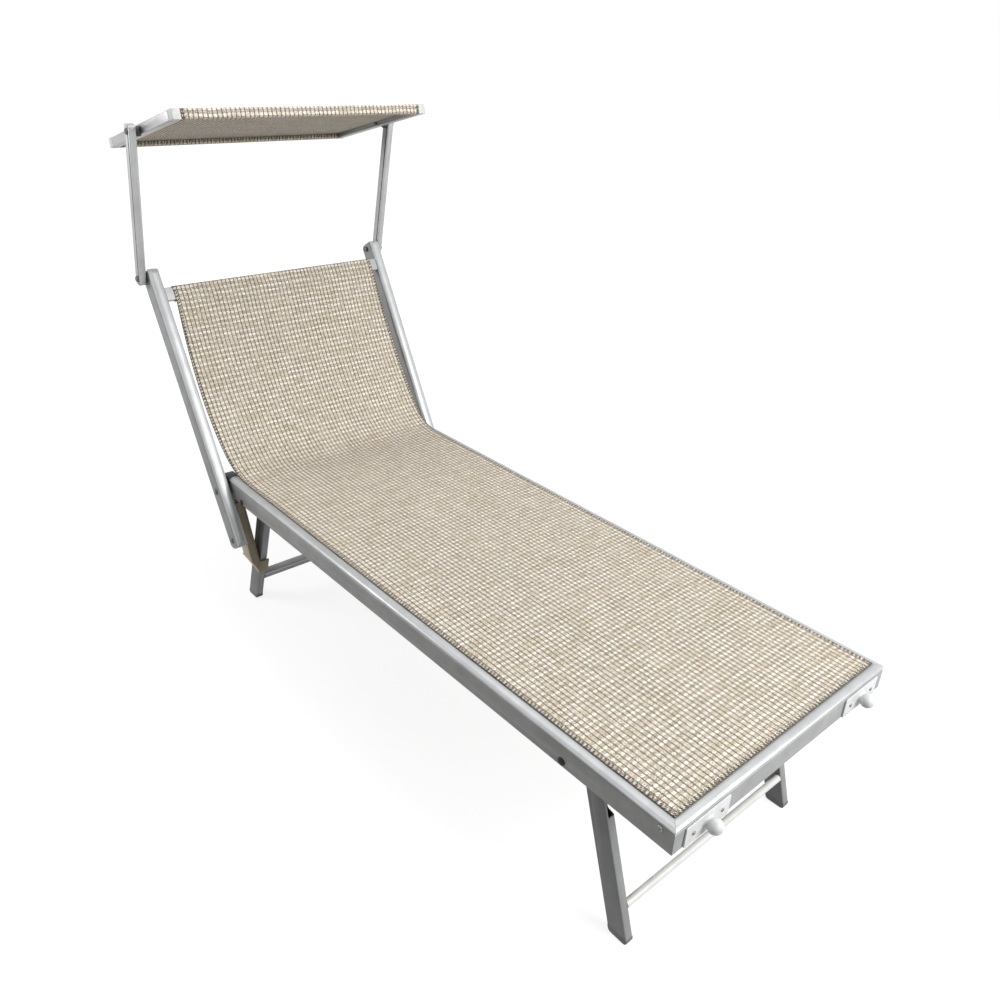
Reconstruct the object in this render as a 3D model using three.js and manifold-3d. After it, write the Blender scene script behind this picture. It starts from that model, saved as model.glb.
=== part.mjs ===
// Sun lounger with a tilting sun canopy, in millimetres, +Z up.
// It stands on z = 0 with its foot end towards -Y, its head end towards +Y and its left side towards -X.
// Its rails and uprights are cut from one aluminium extrusion: a hollow flat box with a rounded bead on one edge.
// Its legs are plain flat tubes.
import * as THREE from "three";
import { mergeVertices } from "three/addons/utils/BufferGeometryUtils.js";
import Module from "manifold-3d";

const wasm = await Module();
wasm.setup();

// Fits that all pieces share
const gap = 0.3; // between two pieces that touch
const overrun = 2; // a cutting tool runs this far past the face it cuts

// The extrusion: its flat box, and the bead on its edge
const section = {
  flat: 42,
  thick: 25,
  bead: 12,
  beadThick: 26.4,
  wall: 1.6,
  corner: 2,
  web: 1.6,
};

// The canopy arms' slimmer extrusion, of the same form
const armSection = {
  flat: 18,
  thick: 17,
  bead: 9,
  beadThick: 17,
  wall: 1.4,
  corner: 1.5,
  web: 1.4,
};

// The legs' flat tube
const legSection = { deep: 42, thick: 18, wall: 1.6, corner: 3 };

// Bed frame. Heights are over the lower edge of its rails
const bed = { width: 600, length: 1396, clearUnder: 340 };
const cornerKey = { reach: 62, height: 24 };
const hingeBlock = { length: 44, tongue: 34, round: 17, boss: 16, edge: 0.6 };

// Leg pivots, measured from the foot end and from the rails' head ends
const frontPivot = { y: 228, height: 11, setBack: 12.6, lean: 17.5 };
const rearPivot = { beforeEnd: 56, height: 9, setBack: 11.3, lean: 19 };
const legs = { inset: 25, topMargin: 21, topRound: 12 };
const legRecess = { below: 115, deep: 14, round: 8, plate: 3 };
const foot = { height: 13, round: 9, plug: 16 };
const frontTube = { diameter: 15, wall: 1.5, down: 305 };
const rearBar = { down: 274, deep: 20, high: 20 };
const legBolt = { shank: 8, head: 15, headHeight: 2.4, nut: 13, nutHeight: 6 };
const legSpacer = { diameter: 18 };

// Backrest. Distances along the uprights are from their pivot
const back = { recline: 29.1, pivotBehind: 20.4, pivotHeight: 16.2, sideGap: 4 };
const upright = {
  armPivot: 542,
  stopPin: 128,
  lowMargin: 21,
  highMargin: 16,
  rearRound: 23,
  beadRound: 22,
  boltOffset: 0,
};
const topBar = { low: 474, high: 506, depth: 16, frontInset: 6, corner: 3 };
const backBolt = { shank: 8, head: 16, headHeight: 4.5, nut: 13, nutHeight: 6 };
const stopPin = { shank: 8, head: 14, headHeight: 4, inside: 10 };

// Canopy arms and canopy
const arms = {
  sideGap: 2.4,
  length: 343,
  lean: 12,
  lowMargin: 15,
  highMargin: 15,
  rearRound: 9,
  beadRound: 9,
  boltOffset: 4.5,
};
const armSpacer = { diameter: 22 };
const armBolt = { shank: 8, head: 16, headHeight: 4.5, nut: 13, nutHeight: 6 };
const canopy = { sideGap: 11.4, front: 193.5, back: 210.5, lean: 13.7 };
const canopyRail = { height: 22, thick: 20, rise: 4, wall: 1.6, corner: 2.5 };
const canopyCap = { length: 20, plug: 18, corner: 3 };
const canopyBolt = { shank: 6, head: 14, headHeight: 4, nut: 9, nutHeight: 4 };
const canopySpacer = { diameter: 22 };

// Woven fabric: the seat and back sling, and the canopy's cover
const fabric = { thick: 1.6, sleeveCorner: 2 };
const sling = { edgeInset: 16, footEdge: 15, beforeEnd: 70, crown: 3, spread: 9, backSplit: 250 };
const canopySheet = { overRailBottom: 12.8, sag: 1.5 };

// Plastic hooks on the foot rail
const hook = { width: 108, plate: 3, fromEnd: 78, chamfer: 1.5, heightShare: 0.96 };
const hookPeg = { neck: 21, bulb: 26, reach: 29, flare: 26, over: 2 };

// Plastic stays that prop the rear legs
const stay = { wide: 44, thick: 22, clip: 4, clipHigh: 45, clipDown: 204, lip: 22, rear: 10, cup: 3, tab: 8 };
const bracket = { wide: 24, deep: 22, high: 15, nose: 7, behindEnd: 6, inset: 12.5 };

// Share tables, chosen by hand
// The sling's side line from where it leaves the rails to the top bar's lower edge, as shares of run and rise
const slingRunShares = [0, 0.16, 0.295, 0.41, 0.515, 0.61, 0.7, 0.785, 0.865, 0.935, 1];
const slingRiseShares = [0, 0.022, 0.085, 0.175, 0.28, 0.385, 0.5, 0.62, 0.745, 0.873, 1];
const beadCentreShare = 0.42; // how far up the bead its widest place lies
const beadArcSteps = 5;
const roundSteps = 12;

const DEGREE = Math.PI / 180;
const SIDES = [
  ["left", -1],
  ["right", 1],
];

// Places worked out from the sizes above
const railX = (bed.width - section.thick) / 2;
const beadProud = (section.beadThick - section.thick) / 2;
const railInner = bed.width / 2 - section.thick;
const railMid = bed.clearUnder + section.flat / 2;
const railTop = bed.clearUnder + section.flat + section.bead;
const legOuter = railInner - legs.inset;
const legInner = legOuter - legSection.thick;
const legX = (legOuter + legInner) / 2;
const uprightInner = bed.width / 2 + back.sideGap;
const uprightOuter = uprightInner + section.thick;
const uprightX = (uprightInner + uprightOuter) / 2;
const armInner = uprightOuter + arms.sideGap;
const armOuter = armInner + armSection.thick;
const armX = (armInner + armOuter) / 2;
const slingHalf = bed.width / 2 - sling.edgeInset;
const slingLiftOff = bed.length - sling.beforeEnd;
const hookX = bed.width / 2 - hook.fromEnd;
const canopyHalf = armInner - canopy.sideGap;
const canopyRailInner = canopyHalf - canopyRail.thick;
const frontPivotAt = new THREE.Vector2(frontPivot.y, bed.clearUnder + frontPivot.height);
const rearPivotAt = new THREE.Vector2(bed.length - rearPivot.beforeEnd, bed.clearUnder + rearPivot.height);
const backPivotAt = new THREE.Vector2(bed.length + back.pivotBehind, bed.clearUnder + back.pivotHeight);
const armPivotAt = along(backPivotAt, back.recline, upright.armPivot, 0);
const canopyPivotAt = along(armPivotAt, -arms.lean, arms.length, 0);

// Colours and gloss of the finishes
const finishes = {
  aluminium: { color: 0xa8aaab, metalness: 0.85, roughness: 0.38 },
  whiteTube: { color: 0xe6e8e2, metalness: 0, roughness: 0.35 },
  whitePlastic: { color: 0xe9ebea, metalness: 0, roughness: 0.45 },
  blackPlastic: { color: 0x1c1c1d, metalness: 0, roughness: 0.5 },
  greyPlastic: { color: 0x5a5b5c, metalness: 0, roughness: 0.6 },
  stayPlastic: { color: 0x9a8b72, metalness: 0, roughness: 0.55 },
  steel: { color: 0x8f9194, metalness: 1, roughness: 0.3 },
  weave: { color: 0xcfc2a6, metalness: 0, roughness: 0.85 },
};

// A point in the (y, z) plane, from a start: a distance along a member that leans back, and one across it.
function along(start, lean, s, u) {
  const sine = Math.sin(lean * DEGREE);
  const cosine = Math.cos(lean * DEGREE);
  return new THREE.Vector2(start.x + s * sine + u * cosine, start.y + s * cosine - u * sine);
}

// The reverse: the (u, s) place of a (y, z) point in a leaning member's own frame.
function inMember(start, lean, point) {
  const sine = Math.sin(lean * DEGREE);
  const cosine = Math.cos(lean * DEGREE);
  const dy = point.x - start.x;
  const dz = point.y - start.y;
  return new THREE.Vector2(dy * cosine - dz * sine, dy * sine + dz * cosine);
}

// A closed geometry as a solid, with its faces turned out.
function solidOf(geometry) {
  const bare = geometry.index ? geometry.toNonIndexed() : geometry.clone();
  for (const name of Object.keys(bare.attributes)) {
    if (name !== "position") bare.deleteAttribute(name);
  }
  const merged = mergeVertices(bare, 1e-4);
  const index = merged.index.array;
  const kept = [];
  for (let i = 0; i < index.length; i += 3) {
    const [a, b, c] = [index[i], index[i + 1], index[i + 2]];
    if (a !== b && b !== c && c !== a) kept.push(a, b, c);
  }
  const build = (triangles) =>
    new wasm.Manifold(
      new wasm.Mesh({
        numProp: 3,
        vertProperties: new Float32Array(merged.attributes.position.array),
        triVerts: new Uint32Array(triangles),
      }),
    );
  const made = build(kept);
  return made.volume() < 0 ? build(kept.reverse()) : made;
}

function geometryOf(solid) {
  const mesh = solid.getMesh();
  const geometry = new THREE.BufferGeometry();
  geometry.setAttribute("position", new THREE.BufferAttribute(mesh.vertProperties, 3));
  geometry.setIndex(new THREE.BufferAttribute(mesh.triVerts, 1));
  geometry.computeVertexNormals();
  return geometry;
}

// Adds a named mesh with its own material to a group.
function piece(group, name, solid, finish) {
  const mesh = new THREE.Mesh(geometryOf(solid), new THREE.MeshStandardMaterial(finishes[finish]));
  mesh.name = name;
  group.add(mesh);
  return mesh;
}

// A group at a pivot whose local axes are x, u (across, rearwards) and s (up along a member that leans back).
function leaningGroup(at, lean) {
  const group = new THREE.Group();
  group.position.set(0, at.x, at.y);
  group.rotation.x = -lean * DEGREE;
  return group;
}

// Matrices that turn a shape drawn in its own X and Y and extruded along its Z.
function basis(x, y, z, at = [0, 0, 0]) {
  const turn = new THREE.Matrix4().makeBasis(
    new THREE.Vector3(...x),
    new THREE.Vector3(...y),
    new THREE.Vector3(...z),
  );
  return turn.setPosition(...at);
}

const moved = (solid, x, y, z) => solid.translate([x, y, z]);
const turned = (solid, matrix) => solid.transform(matrix.elements);

function block(x0, x1, y0, y1, z0, z1) {
  const made = solidOf(new THREE.BoxGeometry(x1 - x0, y1 - y0, z1 - z0));
  return moved(made, (x0 + x1) / 2, (y0 + y1) / 2, (z0 + z1) / 2);
}

// A round bar along x, centred on (u, s) and running from x0 to x1.
function roundAlongX(diameter, x0, x1, u = 0, s = 0, steps = roundSteps) {
  const round = new THREE.CylinderGeometry(diameter / 2, diameter / 2, x1 - x0, steps);
  const made = solidOf(round.rotateZ(Math.PI / 2));
  return moved(made, (x0 + x1) / 2, u, s);
}

const polygon = (points) => new THREE.Shape(points.map(([x, y]) => new THREE.Vector2(x, y)));

// A prism of a shape drawn in (u, s), running along x from x0 to x1.
function prismAlongX(shape, x0, x1) {
  const settings = { depth: x1 - x0, bevelEnabled: false, curveSegments: 5 };
  const made = solidOf(new THREE.ExtrudeGeometry(shape, settings));
  return turned(made, basis([0, 1, 0], [0, 0, 1], [1, 0, 0], [x0, 0, 0]));
}

// An outline from corners [x, y, radius], each rounded by its radius.
function roundedOutline(corners) {
  const shape = new THREE.Shape();
  corners.forEach(([x, y, radius], i) => {
    const here = new THREE.Vector2(x, y);
    const before = new THREE.Vector2(...corners[(i + corners.length - 1) % corners.length]);
    const after = new THREE.Vector2(...corners[(i + 1) % corners.length]);
    const inwards = before.sub(here).normalize();
    const outwards = after.sub(here).normalize();
    const turnAngle = Math.acos(THREE.MathUtils.clamp(inwards.dot(outwards), -1, 1));
    const reach = radius / Math.tan(turnAngle / 2);
    const enter = here.clone().addScaledVector(inwards, reach);
    const leave = here.clone().addScaledVector(outwards, reach);
    if (i) shape.lineTo(enter.x, enter.y);
    else shape.moveTo(enter.x, enter.y);
    if (radius) shape.quadraticCurveTo(here.x, here.y, leave.x, leave.y);
  });
  shape.closePath();
  return shape;
}

// The extrusion's outline in (x, u): a flat box, and towards -u the bead over a shallow groove.
function sectionShape(size) {
  const half = size.thick / 2;
  const edge = size.flat / 2;
  const rise = size.bead * (1 - beadCentreShare);
  const centre = -edge - size.bead * beadCentreShare;
  const right = [
    [half - size.corner, edge],
    [half, edge - size.corner],
    [half, -edge + size.corner / 2],
  ];
  for (let i = 0; i <= beadArcSteps; i++) {
    const angle = (-40 + (130 * i) / beadArcSteps) * DEGREE;
    right.push([(size.beadThick / 2) * Math.cos(angle), centre - rise * Math.sin(angle)]);
  }
  const left = right
    .slice(0, -1)
    .reverse()
    .map(([x, u]) => [-x, u]);
  return polygon([...right, ...left]);
}

// Its two hollows: the box, and the channel in the bead.
function sectionHollows(size) {
  const half = size.thick / 2 - size.wall;
  const edge = size.flat / 2;
  const channel = size.beadThick / 2 - 2 * size.wall;
  const inBead = edge + size.web;
  const top = edge + size.bead - size.wall;
  return [
    polygon([
      [-half, -edge + size.wall],
      [half, -edge + size.wall],
      [half, edge - size.wall],
      [-half, edge - size.wall],
    ]),
    polygon([
      [-channel, -inBead],
      [-channel, -(inBead + top) / 2],
      [-channel / 2, -top],
      [channel / 2, -top],
      [channel, -(inBead + top) / 2],
      [channel, -inBead],
    ]),
  ];
}

const extrude = (shape, from, to) => {
  const made = new THREE.ExtrudeGeometry(shape, { depth: to - from, bevelEnabled: false, curveSegments: 3 });
  return moved(solidOf(made), 0, 0, from);
};

// A length of an extrusion along s, in (x, u, s).
// trim cuts it to a side view, and solidEnd is what stays solid at each end.
function bar({ size = section, from, to, solidEnd = 0, trim = null, holes = [] }) {
  let solid = extrude(sectionShape(size), from, to);
  if (trim) solid = solid.intersect(trim);
  const hollowEnd = solidEnd || -overrun;
  const [box, channel] = sectionHollows(size);
  solid = solid.subtract(extrude(box, from + hollowEnd, to - hollowEnd));
  solid = solid.subtract(extrude(channel, from - overrun, to - hollowEnd));
  for (const hole of holes) solid = solid.subtract(hole);
  return solid;
}

// A bolt along x seen from its head: x = 0 is under the head, and the head points to +x.
function bolt({ shank, head, headHeight, nut, nutHeight }, grip) {
  const end = grip + nutHeight;
  const tip = shank / 4;
  const profile = [
    [0, headHeight],
    [head * 0.34, headHeight],
    [head / 2, headHeight / 3],
    [head / 2, 0],
    [shank / 2, 0],
    [shank / 2, -grip],
    [nut / 2, -grip],
    [nut / 2, -end],
    [shank / 2, -end],
    [shank / 2 - tip / 2, -end - tip],
    [0, -end - tip],
  ].map(([r, y]) => new THREE.Vector2(r, y));
  return solidOf(new THREE.LatheGeometry(profile.reverse(), roundSteps).rotateZ(-Math.PI / 2));
}

// Puts a solid that points to +x on one side of the lounger: side is 1 or -1.
function onSide(solid, side, x, u = 0, s = 0) {
  return moved(side > 0 ? solid : solid.mirror([1, 0, 0]), side * x, u, s);
}

const boltHole = (diameter, x0, x1, u = 0, s = 0) =>
  roundAlongX(diameter + 2 * gap, x0 - overrun, x1 + overrun, u, s);

// A tube of round section along x.
function ring(diameter, bore, x0, x1, u = 0, s = 0) {
  return roundAlongX(diameter, x0, x1, u, s).subtract(roundAlongX(bore, x0 - overrun, x1 + overrun, u, s));
}

// A closed sheet from a surface place(a, b), with a and b from 0 to 1, and a thickness.
function sheet(columns, rows, place, thick) {
  const step = 1e-3;
  const points = [];
  for (const side of [thick / 2, -thick / 2]) {
    for (let j = 0; j <= rows; j++) {
      for (let i = 0; i <= columns; i++) {
        const a = i / columns;
        const b = j / rows;
        const across = place(Math.min(a + step, 1), b).sub(place(Math.max(a - step, 0), b));
        const onwards = place(a, Math.min(b + step, 1)).sub(place(a, Math.max(b - step, 0)));
        const normal = across.cross(onwards).normalize();
        points.push(...place(a, b).addScaledVector(normal, side).toArray());
      }
    }
  }
  const width = columns + 1;
  const layer = width * (rows + 1);
  const at = (i, j, k) => k * layer + j * width + i;
  const faces = [];
  const quad = (a, b, c, d) => faces.push(a, b, c, a, c, d);
  for (let j = 0; j < rows; j++) {
    for (let i = 0; i < columns; i++) {
      quad(at(i, j, 0), at(i + 1, j, 0), at(i + 1, j + 1, 0), at(i, j + 1, 0));
      quad(at(i, j, 1), at(i, j + 1, 1), at(i + 1, j + 1, 1), at(i + 1, j, 1));
    }
  }
  for (let i = 0; i < columns; i++) {
    quad(at(i, 0, 1), at(i + 1, 0, 1), at(i + 1, 0, 0), at(i, 0, 0));
    quad(at(i, rows, 0), at(i + 1, rows, 0), at(i + 1, rows, 1), at(i, rows, 1));
  }
  for (let j = 0; j < rows; j++) {
    quad(at(0, j, 0), at(0, j + 1, 0), at(0, j + 1, 1), at(0, j, 1));
    quad(at(columns, j, 1), at(columns, j + 1, 1), at(columns, j + 1, 0), at(columns, j, 0));
  }
  const geometry = new THREE.BufferGeometry();
  geometry.setAttribute("position", new THREE.Float32BufferAttribute(points, 3));
  geometry.setIndex(faces);
  return solidOf(geometry);
}

// A rectangle centred on (x, y) with rounded corners.
function roundedBox(x, y, width, height, radius) {
  return roundedOutline([
    [x - width / 2, y - height / 2, radius],
    [x + width / 2, y - height / 2, radius],
    [x + width / 2, y + height / 2, radius],
    [x - width / 2, y + height / 2, radius],
  ]);
}

// Side rails with a mitred foot end, holes for the leg bolts, and an open head end.
function addRails(frame) {
  for (const [name, side] of SIDES) {
    const centre = side * railX;
    const reach = section.beadThick;
    const mitre = (x) => section.thick / 2 - side * x + gap * Math.SQRT2;
    const plan = polygon([
      [-reach, mitre(-reach)],
      [reach, mitre(reach)],
      [reach, bed.length],
      [-reach, bed.length],
    ]);
    const depth = 2 * (section.flat + section.bead);
    const trim = turned(extrude(plan, -depth / 2, depth / 2), basis([1, 0, 0], [0, 0, 1], [0, -1, 0]));
    const holes = [frontPivotAt, rearPivotAt].map((at) =>
      boltHole(legBolt.shank, -section.thick / 2, section.thick / 2, railMid - at.y, at.x),
    );
    const solid = bar({ from: -overrun, to: bed.length, trim, holes });
    const mesh = piece(frame, `rail_${name}`, solid, "aluminium");
    mesh.applyMatrix4(basis([1, 0, 0], [0, 0, -1], [0, 1, 0], [centre, 0, railMid]));
  }
}

// The foot rail, mitred to the side rails.
function addFootRail(frame) {
  const half = bed.width / 2;
  const reach = section.beadThick;
  const mitre = (x) => half - section.thick / 2 - x;
  const plan = polygon([
    [-reach, -mitre(-reach)],
    [reach, -mitre(reach)],
    [reach, mitre(reach)],
    [-reach, mitre(-reach)],
  ]);
  const depth = 2 * (section.flat + section.bead);
  const trim = turned(extrude(plan, -depth / 2, depth / 2), basis([1, 0, 0], [0, 0, 1], [0, -1, 0]));
  const solid = bar({ from: -half - section.thick, to: half + section.thick, trim });
  const mesh = piece(frame, "foot_rail", solid, "aluminium");
  mesh.applyMatrix4(basis([0, 1, 0], [0, 0, -1], [-1, 0, 0], [0, section.thick / 2, railMid]));
}

// L-shaped keys inside the mitred corners.
function addCornerKeys(frame) {
  const inset = section.wall + gap;
  for (const [name, side] of SIDES) {
    const outer = bed.width / 2 - inset;
    const inner = railInner + inset;
    const [x0, x1] = side > 0 ? [inner, outer] : [-outer, -inner];
    const [ax0, ax1] = side > 0 ? [outer - cornerKey.reach, outer] : [-outer, -outer + cornerKey.reach];
    const z0 = railMid - cornerKey.height / 2;
    const z1 = railMid + cornerKey.height / 2;
    const lengthwise = block(x0, x1, inset, cornerKey.reach, z0, z1);
    const crosswise = block(ax0, ax1, inset, section.thick - inset, z0, z1);
    piece(frame, `corner_key_${name}`, lengthwise.add(crosswise), "greyPlastic");
  }
}

// Plastic hinge blocks that plug the rails' head ends and carry the backrest's pivots.
function addHingeBlocks(frame) {
  const y0 = bed.length + gap;
  const y1 = y0 + hingeBlock.length;
  const z0 = bed.clearUnder;
  const z1 = railTop - hingeBlock.edge;
  const inset = section.wall + gap;
  const outline = roundedOutline([
    [y0, z0, 0],
    [y1, z0, hingeBlock.round],
    [y1, z1, hingeBlock.round],
    [y0, z1, 0],
  ]);
  for (const [name, side] of SIDES) {
    const faces = [side * railInner, side * (bed.width / 2)].sort((a, b) => a - b);
    const bossEnd = uprightInner - beadProud - gap;
    const bossFaces = [side * (railInner + section.thick / 2), side * bossEnd].sort((a, b) => a - b);
    const tongueFrom = y0 - hingeBlock.tongue;
    const tongueLow = bed.clearUnder + inset;
    const tongueHigh = bed.clearUnder + section.flat - inset;
    const solid = prismAlongX(outline, ...faces)
      .add(block(faces[0] + inset, faces[1] - inset, tongueFrom, y0 + inset, tongueLow, tongueHigh))
      .add(roundAlongX(2 * hingeBlock.boss, ...bossFaces, backPivotAt.x, backPivotAt.y, 24))
      .subtract(boltHole(backBolt.shank, -uprightInner, uprightInner, backPivotAt.x, backPivotAt.y));
    piece(frame, `hinge_block_${name}`, solid, "blackPlastic");
  }
}

// Hooks: a plate on the foot rail's face with a round peg.
function addHooks(frame) {
  const high = section.flat * hook.heightShare;
  const edge = 2 * hook.chamfer;
  const plate = solidOf(
    new THREE.ExtrudeGeometry(roundedBox(0, 0, hook.width - edge, high - edge, hook.chamfer), {
      depth: hook.plate - hook.chamfer,
      bevelThickness: hook.chamfer,
      bevelSize: hook.chamfer,
      bevelSegments: 1,
      curveSegments: 2,
    }),
  );
  // The extrusion's bevel also runs behind the plate: only what is in front of the rail's face is kept.
  const front = block(-hook.width, hook.width, -high, high, 0, hook.plate + hookPeg.reach);
  const bulb = hookPeg.bulb / 2;
  const profile = [
    [0, 0],
    [hookPeg.flare / 2, 0],
    [hookPeg.flare / 2, hook.plate],
    [hookPeg.neck / 2, hook.plate + hookPeg.over],
  ];
  for (let i = 0; i <= 6; i++) {
    const angle = (-43 + (133 * i) / 6) * DEGREE;
    profile.push([i < 6 ? bulb * Math.cos(angle) : 0, hookPeg.reach - bulb + bulb * Math.sin(angle)]);
  }
  const outline = profile.reverse().map(([r, y]) => new THREE.Vector2(r, y));
  const peg = solidOf(new THREE.LatheGeometry(outline, roundSteps).rotateX(Math.PI / 2));
  const whole = plate.intersect(front).add(peg);
  for (const [name, side] of SIDES) {
    const mesh = piece(frame, `hook_${name}`, whole, "whitePlastic");
    mesh.applyMatrix4(basis([1, 0, 0], [0, 0, 1], [0, -1, 0], [side * hookX, -gap, railMid]));
  }
}

// Leg bolts through the rails, spacers and legs, and the spacers.
function addLegFixings(frame) {
  const pivots = [
    ["front", frontPivotAt],
    ["rear", rearPivotAt],
  ];
  for (const [end, at] of pivots) {
    for (const [name, side] of SIDES) {
      const grip = bed.width / 2 + gap - (legInner - gap);
      const fixing = bolt(legBolt, grip);
      piece(frame, `leg_bolt_${end}_${name}`, onSide(fixing, side, bed.width / 2 + gap, at.x, at.y), "steel");
      const [x0, x1] = [side * (legOuter + gap), side * (railInner - gap)].sort((a, b) => a - b);
      const spacer = ring(legSpacer.diameter, legBolt.shank + 2 * gap, x0, x1, at.x, at.y);
      piece(frame, `leg_spacer_${end}_${name}`, spacer, "whitePlastic");
    }
  }
}

// Small brackets under the hinge blocks, whose round noses take the stays.
function addBrackets(frame) {
  const y = bed.length + bracket.behindEnd;
  const top = bed.clearUnder - gap;
  const outline = roundedOutline([
    [y - bracket.deep / 2, top, 0],
    [y - bracket.nose, top - bracket.high, bracket.nose / 2],
    [y + bracket.nose, top - bracket.high, bracket.nose / 2],
    [y + bracket.deep / 2, top, 0],
  ]);
  for (const [name, side] of SIDES) {
    const x = side * (railInner + bracket.inset);
    const solid = prismAlongX(outline, x - bracket.wide / 2, x + bracket.wide / 2);
    piece(frame, `stay_bracket_${name}`, solid, "whitePlastic");
  }
}

// A leg in its own frame, and the plastic foot below it. A recessed leg's front is cut back by its pivot,
// where only the plate on its outer side runs on up.
function legPieces(pivotAt, lean, setBack, recessed) {
  const rear = -setBack + legSection.deep / 2;
  const front = -setBack - legSection.deep / 2;
  const half = legSection.thick / 2;
  const levelAt = (u, z) => (z - pivotAt.y + u * Math.sin(lean * DEGREE)) / Math.cos(lean * DEGREE);
  const seam = foot.height + gap;
  const lowest = Math.min(levelAt(rear, seam), levelAt(front, seam)) - overrun;
  const trim = prismAlongX(
    roundedOutline([
      [rear, levelAt(rear, seam), 0],
      [rear, legs.topMargin, legs.topRound],
      [front, legs.topMargin, legs.topRound],
      [front, levelAt(front, seam), 0],
    ]),
    -half,
    half,
  );
  const outside = roundedBox(0, -setBack, legSection.thick, legSection.deep, legSection.corner);
  const wall = 2 * legSection.wall;
  const inside = roundedBox(0, -setBack, legSection.thick - wall, legSection.deep - wall, 0);
  let tube = extrude(outside, lowest, legs.topMargin)
    .intersect(trim)
    .subtract(extrude(inside, lowest - overrun, legs.topMargin - legs.topRound));
  if (recessed) {
    const recess = roundedOutline([
      [front - overrun, -legRecess.below - legRecess.round, 0],
      [front, -legRecess.below - legRecess.round, 0],
      [front + legRecess.deep, -legRecess.below, legRecess.round],
      [front + legRecess.deep, legs.topMargin + overrun, 0],
      [front - overrun, legs.topMargin + overrun, 0],
    ]);
    tube = tube.subtract(prismAlongX(recess, -half - overrun, half - legRecess.plate));
  }
  tube = tube.subtract(boltHole(legBolt.shank, -half, half));
  const sole = prismAlongX(
    roundedOutline([
      [rear, levelAt(rear, foot.height), 0],
      [front, levelAt(front, foot.height), 0],
      [front, levelAt(front, 0), foot.round],
      [rear, levelAt(rear, 0), foot.round],
    ]),
    -half,
    half,
  );
  const inset = legSection.wall + gap;
  const plugTop = Math.max(levelAt(rear, foot.height), levelAt(front, foot.height)) + foot.plug;
  const plugLow = Math.max(levelAt(rear, foot.height / 2), levelAt(front, foot.height / 2));
  const plug = block(-half + inset, half - inset, front + inset, rear - inset, plugLow, plugTop);
  return { tube, cap: sole.add(plug) };
}

function addFrontLegs(root) {
  const group = leaningGroup(frontPivotAt, frontPivot.lean);
  const { tube, cap } = legPieces(frontPivotAt, frontPivot.lean, frontPivot.setBack, true);
  for (const [name, side] of SIDES) {
    piece(group, `front_leg_${name}`, onSide(tube, side, legX), "aluminium");
    piece(group, `front_foot_${name}`, moved(cap, side * legX, 0, 0), "greyPlastic");
  }
  const u = -frontPivot.setBack - legSection.deep / 2 + frontTube.diameter / 2;
  const half = legInner - gap;
  const bore = frontTube.diameter - 2 * frontTube.wall;
  const crossbar = ring(frontTube.diameter, bore, -half, half, u, -frontTube.down);
  piece(group, "front_crossbar", crossbar, "whiteTube");
  root.add(group);
}

// A stay in the rear legs' frame: a clip round the leg, and a strut up to the bracket's nose.
function staySolid(side) {
  const lean = -rearPivot.lean;
  const face = legOuter + gap;
  const front = -rearPivot.setBack - legSection.deep / 2 - gap;
  const rear = -rearPivot.setBack + stay.rear;
  const low = -stay.clipDown - stay.clipHigh;
  const high = -stay.clipDown;
  const noseY = bed.length + bracket.behindEnd;
  const noseZ = bed.clearUnder - gap - bracket.high;
  const strutTopX = railInner + bracket.inset;
  const cup = roundedOutline([
    [noseY - bracket.deep / 2, noseZ + bracket.high, 0],
    [noseY - bracket.nose, noseZ - gap, bracket.nose / 2],
    [noseY + bracket.nose, noseZ - gap, bracket.nose / 2],
    [noseY + bracket.deep / 2, noseZ + bracket.high, 0],
  ]);
  // The strut is drawn in (x, z) of the whole lounger and then turned into the leg's frame.
  const clipMiddle = along(rearPivotAt, lean, (low + high) / 2, front);
  const strut = polygon([
    [strutTopX - stay.thick / 2, noseZ + stay.cup],
    [strutTopX + stay.thick / 2, noseZ + stay.cup],
    [face + stay.thick, clipMiddle.y + stay.clipHigh / 2],
    [face + stay.clip, clipMiddle.y - stay.clipHigh / 4],
    [face, clipMiddle.y - stay.clipHigh / 4],
    [face, clipMiddle.y + stay.clipHigh / 2],
  ]);
  const y0 = noseY - stay.wide / 2;
  const y1 = noseY + stay.wide / 2;
  const upright3d = turned(extrude(strut, -y1, -y0), basis([1, 0, 0], [0, 0, 1], [0, -1, 0]));
  const tabLow = clipMiddle.y + stay.clipHigh / 2;
  const tab = block(face, face + stay.thick, y1 - stay.cup, y1 + stay.tab, tabLow, tabLow + stay.tab / 2);
  const standing = upright3d.add(tab).subtract(prismAlongX(cup, 0, bed.width));
  const toLeg = new THREE.Matrix4()
    .makeRotationX(lean * DEGREE)
    .multiply(new THREE.Matrix4().makeTranslation(0, -rearPivotAt.x, -rearPivotAt.y));
  const clip = block(face, face + stay.clip, front - stay.clip, rear, low, high).add(
    block(face - stay.lip, face + stay.clip, front - stay.clip, front, low, high),
  );
  const whole = turned(standing, toLeg).add(clip);
  return side > 0 ? whole : whole.mirror([1, 0, 0]);
}

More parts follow.
